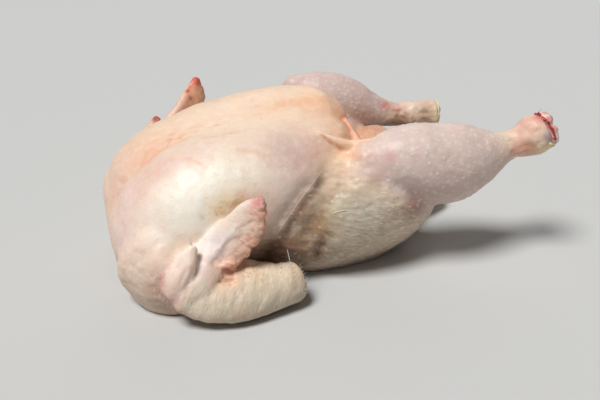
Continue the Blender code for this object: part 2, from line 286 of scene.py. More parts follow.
def breastLobe(name, hand):
    spread = body["lobeSpread"]
    rows = [(x, hand * (spread - drawn), z, wide, high) for x, drawn, z, wide, high in body[name]]
    return loft(leaned(rows), leanSide, xAxis, power=2.1, rings=44, corners=40, ends=(0.25, 0.4))


def sideFlesh(side):
    pieces = [
        loft(side["shoulder"], zAxis, rings=10),
        loft(side["upperWing"], zAxis, rings=14),
        loft(side["thigh"], xAxis, zAxis, power=2.2, rings=26, corners=36, ends=(0.8, 0.6)),
        loft(side["drumstick"], yAxis, rings=34, ends=(1.0, 0.8)),
    ]
    if "flank" in side:
        pieces.append(loft(side["flank"], xAxis, zAxis, rings=20))
    return pieces


def sideTips(side):
    slab, blade = unit(np.array(side["slab"])), unit(np.array(side["blade"]))
    tips = [
        loft(side["hock"], yAxis, rings=16, ends=(0.8, 0.14)),
        loft(side["forearm"], slab, rings=24),
        loft(side["hand"], blade, rings=24),
        loft(side["thumb"], blade, rings=12),
    ]
    if "wristPad" in side:
        tips.append(loft(side["wristPad"], blade, rings=12))
    return tips


def fused(shapes, voxel):
    everything = bmesh.new()
    for shape in shapes:
        piece = bpy.data.meshes.new("piece")
        shape.to_mesh(piece)
        shape.free()
        everything.from_mesh(piece)
    mesh = bpy.data.meshes.new("joined")
    everything.to_mesh(mesh)
    everything.free()
    thing = placed("joined", mesh)
    remesh = thing.modifiers.new("Fuse", "REMESH")
    remesh.mode = "VOXEL"
    remesh.voxel_size = voxel
    return applied(thing)


def softened(mesh, rounds):
    thing = placed("softened", mesh)
    smooth = thing.modifiers.new("Soften", "SMOOTH")
    smooth.factor = 0.5
    smooth.iterations = rounds
    return applied(thing)


def thinned(mesh, triangles):
    thing = placed("thinned", mesh)
    thin = thing.modifiers.new("Facets", "DECIMATE")
    thin.ratio = triangles / sum(len(face.vertices) - 2 for face in mesh.polygons)
    return applied(thing)


def asShape(mesh):
    shape = bmesh.new()
    shape.from_mesh(mesh)
    return shape


def placesOf(mesh):
    places = np.empty(len(mesh.vertices) * 3)
    mesh.vertices.foreach_get("co", places)
    return places.reshape(-1, 3)


def normalsOf(mesh):
    normals = np.empty(len(mesh.vertices) * 3)
    mesh.vertex_normals.foreach_get("vector", normals)
    return normals.reshape(-1, 3)


def putPlaces(mesh, places):
    mesh.vertices.foreach_set("co", places.astype(np.float32).ravel())
    mesh.update()


def treeOf(places):
    tree = KDTree(len(places))
    for i, place in enumerate(places):
        tree.insert(place, i)
    tree.balance()
    return tree


def smoothStep(low, high, values):
    t = np.clip((values - low) / (high - low), 0, 1)
    return t * t * (3 - 2 * t)


def nearLine(places, line, reach):
    # the places within reach of a line of points, how far off each is, and how far along, from 0 to 1
    low, high = line.min(axis=0) - reach, line.max(axis=0) + reach
    near = np.flatnonzero(((places > low) & (places < high)).all(axis=1))
    gaps = np.linalg.norm(places[near, None, :] - line[None, :, :], axis=2)
    return near, gaps.min(axis=1), gaps.argmin(axis=1) / (len(line) - 1)


def onSkin(tree, path, step=1.2):
    # points along a path through landmarks, each moved to the nearest skin
    length = np.linalg.norm(np.diff(np.array(path, float), axis=0), axis=1).sum()
    return np.array([tree.find(point)[0] for point in spaced(path, int(length / step) + 2)])


def pressed(places, normals, line, width, depth):
    # the skin pressed in by depth along a line, fading at its ends, or raised where depth is below zero
    near, away, along = nearLine(places, line, 3 * width)
    fade = smoothStep(0, 0.25, np.minimum(along, 1 - along))
    fade *= 0.75 + 0.35 * noise(places[near], (7, 7, 7), 18)
    places[near] -= normals[near] * (depth * fade * np.exp(-(away / width) ** 2))[:, None]


def noise(places, sizes, seed):
    # smooth noise from -1 to 1, with lumps of the given sizes in millimetres along x, y and z
    spots = places / np.array(sizes, float) + seed * 17.3
    cell = np.floor(spots).astype(np.int64)
    t = spots - cell
    t = t * t * (3 - 2 * t)
    total = np.zeros(len(places))
    for corner in range(8):
        offset = np.array([(corner >> k) & 1 for k in range(3)])
        key = (cell + offset) @ np.array((73856093, 19349663, 83492791)) + seed * 2654435
        key = (key ^ (key >> 13)) * 1274126177 & 0xFFFFFFFF
        value = (key ^ (key >> 16)) % 65536 / 32767.5 - 1
        total += value * np.where(offset, t, 1 - t).prod(axis=1)
    return total


def limbWeight(places, rows, inner=1.1, outer=1.45):
    # 1 on the skin of a lofted limb, falling to 0 away from it
    rows = spaced(rows, 40)
    radii = np.maximum(rows[:, 3], rows[:, 4])
    near, away, along = nearLine(places, rows[:, :3], outer * radii.max())
    weight = np.zeros(len(places))
    local = radii[np.rint(along * (len(rows) - 1)).astype(int)]
    weight[near] = 1 - smoothStep(inner, outer, away / local)
    return weight


# Short creases that run out to the rear edge of the near hand: pressed in, and tinted
webCreases = {
    "width": 1.0,
    "depth": 0.85,
    "tint": "#C47E5C",
    "strength": 0.5,
    "paths": (
        ((-94.7, -90, 53.5), (-83.7, -90, 60), (-74.7, -92, 62.8), (-69.2, -92, 66.7)),
        ((-89.2, -91, 48.8), (-80.1, -92, 55.3), (-74.7, -92, 58.2), (-70.6, -93, 60)),
        ((-83.7, -89, 64.7), (-76.5, -90, 68.4), (-71, -91, 71.2), (-67.8, -92, 72.6)),
        ((-87.4, -93, 42.4), (-82, -93, 46.9), (-76.5, -94, 50.7)),
        ((-76.5, -88, 76.8), (-71, -90, 75.9), (-67, -91, 74.8)),
        ((-86, -91, 57), (-79, -92, 59.5), (-73, -92, 60.5)),
    ),
}
# Folds of the skin: path, width and depth, in landmark millimetres; a depth below zero is a raised ridge
folds = {
    "keelGroove": (
        ((-160, 0, 30), (-163, -1, 52), (-150, 0, 73), (-136, 0, 87), (-116, 0, 105), (-92, -4, 112)), 8,
        4.0,
    ),
    "flankValley": (
        ((2, -58, 94), (-12, -66, 82), (-30, -71, 74), (-44, -72, 58), (-54, -68, 38), (-59, -54, 18)), 7,
        3.0,
    ),
    "neckEdge": (((-150, -40, 14), (-162, -10, 22), (-162, 30, 24), (-150, 60, 26)), 6, 4.0),
    "keelWrinkleOne": (
        ((-133, 8, 87), (-115, 8, 100), (-97, 2, 106), (-78, -1, 111), (-64, -1, 113)), 1.5, 0.65,
    ),
    "keelWrinkleTwo": (((-131, -2, 90), (-118, 0, 98), (-105, -3, 103), (-92, -6, 107)), 1.6, 0.8),
    "keelWrinkleThree": (((-138, -1, 82), (-130, -8, 90), (-120, -10, 96)), 1.6, 0.8),
    "keelWrinkleFour": (((-126, 14, 94), (-112, 14, 102), (-98, 10, 108)), 1.5, 0.6),
    "flankThread": (
        ((-12, -64, 87), (-25, -70, 77), (-34, -72, 70), (-41, -72, 62), (-49, -70, 48)), 1.7, -1.9,
    ),
    "flankThreadTwo": (
        ((-16, -64, 86), (-29, -69, 76), (-38, -71, 68), (-45, -71, 60), (-53, -68, 45)), 1.2, -0.9,
    ),
    "flankCrease": (
        ((-6, -66, 84), (-19, -71, 74), (-29, -73, 65), (-37, -73, 54), (-45, -66, 34)), 3.6, 1.4,
    ),
    "flankCreaseTwo": (((-10, -76, 46), (-16, -76, 36), (-20, -74, 24), (-20, -70, 14)), 4.5, 4.0),
    "pleatShadow": (((-4, -41, 106), (2, -47, 101), (8, -51, 97), (14, -54, 93)), 1.9, 1.4),
    "handWeb": (((-104, -93, 38), (-93, -93, 48), (-81, -92, 60), (-72, -91, 72)), 3.0, 0.95),
    "handBone": (((-113, -92, 45), (-100, -93, 55), (-88, -92, 67)), 2.6, -0.8),
    "thumbCrease": (((-116, -96, 36), (-112.5, -95, 45), (-109, -93, 52), (-107.5, -91, 59)), 1.5, 1.1),
    "thumbWrinkle": (((-126, -95, 34), (-122, -97, 43), (-117, -96, 51)), 1.3, 1.0),
    "thumbWrinkleTwo": (((-131, -92, 36), (-127, -94, 45), (-121, -93, 54)), 1.3, 0.9),
    "thumbWrinkleThree": (((-121, -96, 32), (-118, -98, 41), (-114, -97, 49)), 1.2, 0.8),
    "handCord": (((-110, -94, 42), (-98, -94, 55), (-86, -93, 69), (-78, -92, 76)), 1.1, -0.6),
    "handCordTwo": (((-104, -94, 43), (-94, -94, 54), (-84, -93, 66)), 1.2, 0.5),
    "handCordThree": (((-99, -94, 44), (-90, -94, 55), (-82, -93, 64)), 1.0, 0.6),
    "elbowFold": (((-97, -93, 40), (-93, -94, 40), (-88, -94, 41), (-83, -92, 43)), 1.4, 2.4),
    "elbowRidge": (((-98, -96, 36), (-93, -98, 37), (-87, -98, 38)), 1.5, -1.3),
    "elbowFoldTwo": (((-102, -98, 33), (-97, -99, 34), (-91, -101, 35), (-85, -101, 36)), 1.4, 1.8),
    "shoulderWrinkle": (((-153, -56, 52), (-148, -68, 50), (-141, -74, 50)), 2.2, 0.5),
    "shoulderWrinkleTwo": (((-154, -60, 40), (-149, -72, 38), (-142, -80, 40)), 2.0, 0.45),
    "shoulderWrinkleThree": (((-150, -66, 28), (-143, -80, 27), (-134, -88, 30)), 2.6, 0.55),
    "shoulderWrinkleFour": (((-146, -70, 16), (-138, -80, 16), (-128, -86, 20)), 1.9, 0.6),
    "kneeValley": (((18, -82, 84), (34, -86, 76), (48, -88, 70), (60, -84, 62)), 5.0, 1.2),
    "hockWrinkle": (((134, -92, 92), (141, -94, 94), (148, -99, 96)), 2.2, 1.2),
    "hockWrinkleTwo": (((132, -88, 84), (140, -92, 86), (149, -98, 89)), 1.8, 0.9),
    "farHockWrinkle": (((112, 58, 76), (126, 54, 76), (142, 50, 76)), 1.8, 1.0),
    "farHockWrinkleTwo": (((108, 60, 68), (124, 56, 66), (140, 52, 68)), 1.8, 1.0),
    "farAnkleRing": (((112, 58, 82), (109, 54, 74), (111, 58, 64)), 1.4, 1.0),
    "farAnkleRingTwo": (((121, 57, 81), (118, 51, 73), (119, 56, 63)), 1.2, 0.8),
    "farHockRing": (((143, 56, 82), (141, 49, 74), (142, 54, 64)), 1.2, 0.7),
    "tailCrease": (((84, -28, 18), (96, -22, 24), (106, -14, 30)), 2.6, 2.0),
    "tailCreaseTwo": (((84, 32, 20), (96, 26, 26), (106, 18, 32)), 2.6, 2.0),
    "tailFold": (((104, -10, 34), (108, 2, 33), (105, 14, 36)), 2.2, 1.6),
    "tailFoldTwo": (((113, -12, 28), (116, 0, 28), (114, 12, 30)), 1.8, 1.3),
    "ventFold": (((86, -12, 58), (92, -16, 46), (94, -12, 34)), 1.8, 1.3),
    "ventFoldTwo": (((84, 24, 60), (92, 27, 48), (95, 24, 36)), 1.8, 1.3),
    "bellyFold": (((64, -20, 62), (74, 0, 64), (80, 20, 66)), 2.4, 1.2),
    "bellyFoldTwo": (((56, -30, 66), (62, -8, 72), (70, 14, 74)), 2.2, 1.0),
}


def fleshed():
    shapes = [trunk(), breastLobe("farLobe", 1), breastLobe("nearLobe", -1)]
    shapes += sideFlesh(nearSide) + sideFlesh(farSide)
    shapes.append(loft(leaned(body["tail"]), leanSide, power=2.4, rings=16))
    shapes.append(loft(body["belly"], xAxis, rings=14))
    flesh = asShape(softened(fused(shapes, grain["bodyVoxel"]), grain["bodyRounds"]))
    pleats = [
        loft(looseSkin["toKnee"], zAxis, rings=20, corners=12),
        loft(looseSkin["behindKeel"], zAxis, rings=16, corners=12),
        loft(looseSkin["elbow"], yAxis, rings=14, corners=12),
    ]
    skin = fused([flesh] + sideTips(nearSide) + sideTips(farSide) + pleats, grain["skinVoxel"])
    return softened(skin, grain["skinRounds"])


vent = {
    "centre": (92, 6, 46), "radius": 12, "depth": 14, "lip": 3,
    # how many puckers run in, how high, the ring that they stand in, and how far out they fade
    "puckers": 13, "puckerHeight": 0.9, "puckerRing": (1.1, 0.5), "puckerFade": (14, 26),
}


def hollowed(places):
    offset = (places - np.array(vent["centre"], float)) * (0.35, 1, 1)
    away = np.linalg.norm(offset, axis=1) / vent["radius"]
    places[:, 0] += vent["lip"] * np.exp(-((away - 1.3) / 0.35) ** 2) - vent["depth"] * np.exp(-away ** 4)


zones = {}
# Where some zones lie: a centre and its reach, or a pair of values that they fade between.
# The flank's fold is the thin one that runs down from the knee.
zoneLimits = {
    "shoulder": ((-148, -64, 38), 28),
    "elbow": ((-95, -97, 38), (9, 15)),
    "knee": ((24, -78, 96), (8, 22)),
    "flankFold": {"x": -49, "z": 50, "slope": 0.97, "fade": (9, 22)},
    "lowThigh": (58, 76),
    "web": (6, 13),
    "denseDown": {"z": 50, "slope": 0.5, "fade": (-12, 20), "least": 0.3},
}


def awayFrom(places, name):
    return np.linalg.norm(places - np.array(zoneLimits[name][0], float), axis=1)


def findZones(places):
    # how far each vertex belongs to each limb, from 0 to 1
    for name, side in (("near", nearSide), ("far", farSide)):
        for limb in ("thigh", "drumstick", "hock", "forearm", "hand", "thumb"):
            zones[name + limb.capitalize()] = limbWeight(places, side[limb])
    zones["flank"] = limbWeight(places, nearSide["flank"], 1.0, 1.6)
    fold = zoneLimits["flankFold"]
    behind = places[:, 0] - fold["x"] - fold["slope"] * (places[:, 2] - fold["z"])
    zones["flank"] *= smoothStep(*fold["fade"], behind)
    zones["tail"] = limbWeight(places, leaned(body["tail"]))
    zones["shoulder"] = np.exp(-(awayFrom(places, "shoulder") / zoneLimits["shoulder"][1]) ** 2)
    for name in ("near", "far"):
        tips = np.maximum(zones[name + "Hand"], zones[name + "Thumb"])
        zones[name + "Forearm"] *= 1 - tips
        zones[name + "Drumstick"] *= 1 - zones[name + "Hock"]
        zones[name + "Thigh"] *= 1 - zones[name + "Drumstick"]
        zones[name + "Thigh"] *= 1 - zones[name + "Forearm"]
        zones[name + "Thumb"] *= 1 - 0.7 * zones[name + "Hand"]


def bothSides(limb):
    return np.maximum(zones["near" + limb], zones["far" + limb])


# Patterns in the skin on this bird: millimetres along and across, degrees down towards +X, and detail.
# The grain and the pores are drawn as coarse as they need to be to show.
skinFinish = {
    "patterns": {
        "mottle": (14.0, 14.0, 0, 5.0),
        "grain": (0.9, 0.9, 0, 3.0),
        "down": (5.0, 1.8, 14, 3.0),
        "rows": (2.9, 9.0, 25, 2.0),
        "blotch": (5.0, 5.0, 0, 4.0),
        "web": (8.0, 1.9, 35, 3.0),
    },
    # pattern, where a colour starts and is full, the zone that it keeps to, its share, and the colour
    "layers": (
        ("mottle", 0.50, 0.75, None, 0.20, "#DDA592"),
        ("mottle", 0.48, 0.25, None, 0.14, "#FBF0E2"),
        ("blotch", 0.52, 0.72, None, 0.16, "#E2A288"),
        ("blotch", 0.48, 0.30, None, 0.14, "#FFF7E8"),
        # orange in the troughs of the web's crinkles, as painted shade
        ("web", 0.50, 0.30, "web", 0.5, "#C76F50"),
        ("web", 0.52, 0.72, "web", 0.5, "#FCE4D6"),
        ("down", 0.50, 0.68, "down", 0.42, "#F2EADF"),
        ("down", 0.50, 0.30, "down", 0.28, "#8E785E"),
        # darker in the grooves between the forearm's rows, as painted shade
        ("rows", 0.50, 0.28, "rows", 0.20, "#B89F7C"),
    ),
    # pattern, zone, and its share of the bump
    "bumps": (
        ("down", "down", 1.0), ("rows", "rows", 0.8), ("web", "web", 2.4), ("blotch", None, 0.9),
        ("grain", None, 0.4),
    ),
    # soft pale spots round the follicles: spacing, then how far from its middle a spot ends and is full
    "spots": (5.2, 0.42, 0.05),
    "spotShare": 0.34,
    "spotsElsewhere": 0.3,
    "crestTint": "#F7E9DE",
    "crestShare": 0.35,
    "crestOnDown": 0.5,
    # how many follicles show there, of those on a drumstick
    "dots": {"thigh": 0.4, "tail": 0.5, "shoulder": 0.55},
    # pores: spacing, how far from its middle a pore ends and is full, and its share of the bump
    "pores": (2.2, 0.45, 0.1, 0.3),
    "bump": (0.5, 0.6),  # strength, and height in millimetres
    "film": (0.24, 0.36),  # roughness of the wet film: how much the grain adds, and the least
    "scatterDepth": 2.2,
    # raw skin has the index of water and fat, and red light goes furthest in it
    "shader": {
        "IOR": 1.4, "Subsurface Radius": (1.0, 0.5, 0.3), "Coat Weight": 0.08, "Coat Roughness": 0.25,
    },
}


# Low relief in landmark millimetres: lump size along, across and through, height, and seed
relief = {
    "lumps": ((16, 16, 16), 0.45, 3),
    "dimples": ((6, 6, 6), 0.26, 5),
    "pebbles": ((3.2, 3.2, 3.2), 0.15, 6),
    "down": ((9, 3, 2.6), 0.42, 7),
    "fineDown": ((5, 2.2, 1.8), 0.26, 8),
    "rows": ((4.2, 10, 10), 0.45, 9),
    "fineRows": ((2.2, 4, 4), 0.2, 10),
    "scallop": ((2.6, 2.6, 2.6), 1.1, 11),
    "crinkle": ((2.4, 10, 10), 1.3, 12),
    "thumbFolds": ((4, 3, 9), 0.6, 14),
    "hockFolds": ((5, 4, 4), 0.9, 13),
    "tailFolds": ((9, 4, 5), 0.9, 15),
    "shoulderFolds": ((13, 13, 4.5), 0.8, 17),
    "shoulderPimples": ((3.6, 3.6, 3.6), 0.45, 20),
}


# The rear edge of a hand: how far in its crinkles and its scallops go, and how fast they fade
handEdge = {"crinkle": (18, 9), "scallop": (9, 5)}


def turned(places, degrees):
    # places turned about Y, so that a pattern runs down towards +X by that many degrees
    c, s = math.cos(math.radians(degrees)), math.sin(math.radians(degrees))
    return places @ np.array(((c, 0, s), (0, 1, 0), (-s, 0, c)))


def wave(name, places):
    sizes, height, seed = relief[name]
    return height * noise(places, sizes, seed)


def trailingEdge(side):
    # the rear edge of the hand, where the flight feathers were
    rows = spaced(side["hand"], 120)
    return rows[:, :3] + rows[:, 3:4] * unit(np.array(side["blade"], float))


def relieved(places, normals):
    # low lumps all over, streaky down on the thighs, rows on the forearms, crinkled rear edges on the hands
    down, slant = (turned(places, skinFinish["patterns"][name][2]) for name in ("down", "rows"))
    thigh, forearm = np.maximum(bothSides("Thigh"), 0.5 * zones["flank"]), bothSides("Forearm")
    lift = wave("lumps", places) + wave("dimples", places) + wave("pebbles", places)
    lift += (wave("down", down) + wave("fineDown", down)) * thigh
    lift += (wave("rows", slant) + wave("fineRows", slant)) * forearm
    lift += wave("hockFolds", places) * bothSides("Hock")
    lift += wave("thumbFolds", places) * bothSides("Thumb")
    lift += wave("tailFolds", places) * zones["tail"]
    lift += (wave("shoulderFolds", places) + wave("shoulderPimples", places)) * zones["shoulder"]
    offset = places - np.array(vent["centre"], float)
    away = np.linalg.norm(offset[:, 1:], axis=1) / vent["radius"]
    angle = np.arctan2(offset[:, 2], offset[:, 1]) + 0.3 * noise(places, (9, 9, 9), 16)
    ring, width = vent["puckerRing"]
    pucker = np.cos(vent["puckers"] * angle) * np.exp(-((away - ring) / width) ** 2)
    lift += vent["puckerHeight"] * pucker * (1 - smoothStep(*vent["puckerFade"], np.abs(offset[:, 0])))
    for side in (nearSide, farSide):
        edge = trailingEdge(side)
        reach, fade = handEdge["crinkle"]
        near, away, along = nearLine(places, edge, reach)
        length = np.linalg.norm(np.diff(edge, axis=0), axis=1).sum()
        spots = np.column_stack([along * length + 0.25 * away, away, 0 * away])
        lift[near] += wave("crinkle", spots) * np.exp(-(away / fade) ** 2)
    places = places + normals * lift[:, None]
    for side in (nearSide, farSide):
        reach, fade = handEdge["scallop"]
        near, away, along = nearLine(places, trailingEdge(side), reach)
        blade = unit(np.array(side["blade"], float))
        push = wave("scallop", places[near]) * np.exp(-(away / fade) ** 2)
        places[near] += push[:, None] * blade
    return places


print("skin")
skinMesh = fleshed()
places = placesOf(skinMesh)
hollowed(places)
putPlaces(skinMesh, places)
tree = treeOf(places)
creases = [(path, webCreases["width"], webCreases["depth"]) for path in webCreases["paths"]]
for path, width, depth in list(folds.values()) + creases:
    pressed(places, normalsOf(skinMesh), onSkin(tree, path), width, depth)
putPlaces(skinMesh, places)
skinMesh = softened(skinMesh, 1)
places = placesOf(skinMesh)
findZones(places)
places = relieved(places, normalsOf(skinMesh))
places[:, 2] = np.maximum(places[:, 2], 0.0)
putPlaces(skinMesh, places)
skinMesh = thinned(skinMesh, grain["triangles"])
places = placesOf(skinMesh)
print("skin has", len(places), "vertices")
findZones(places)
tree = treeOf(places)

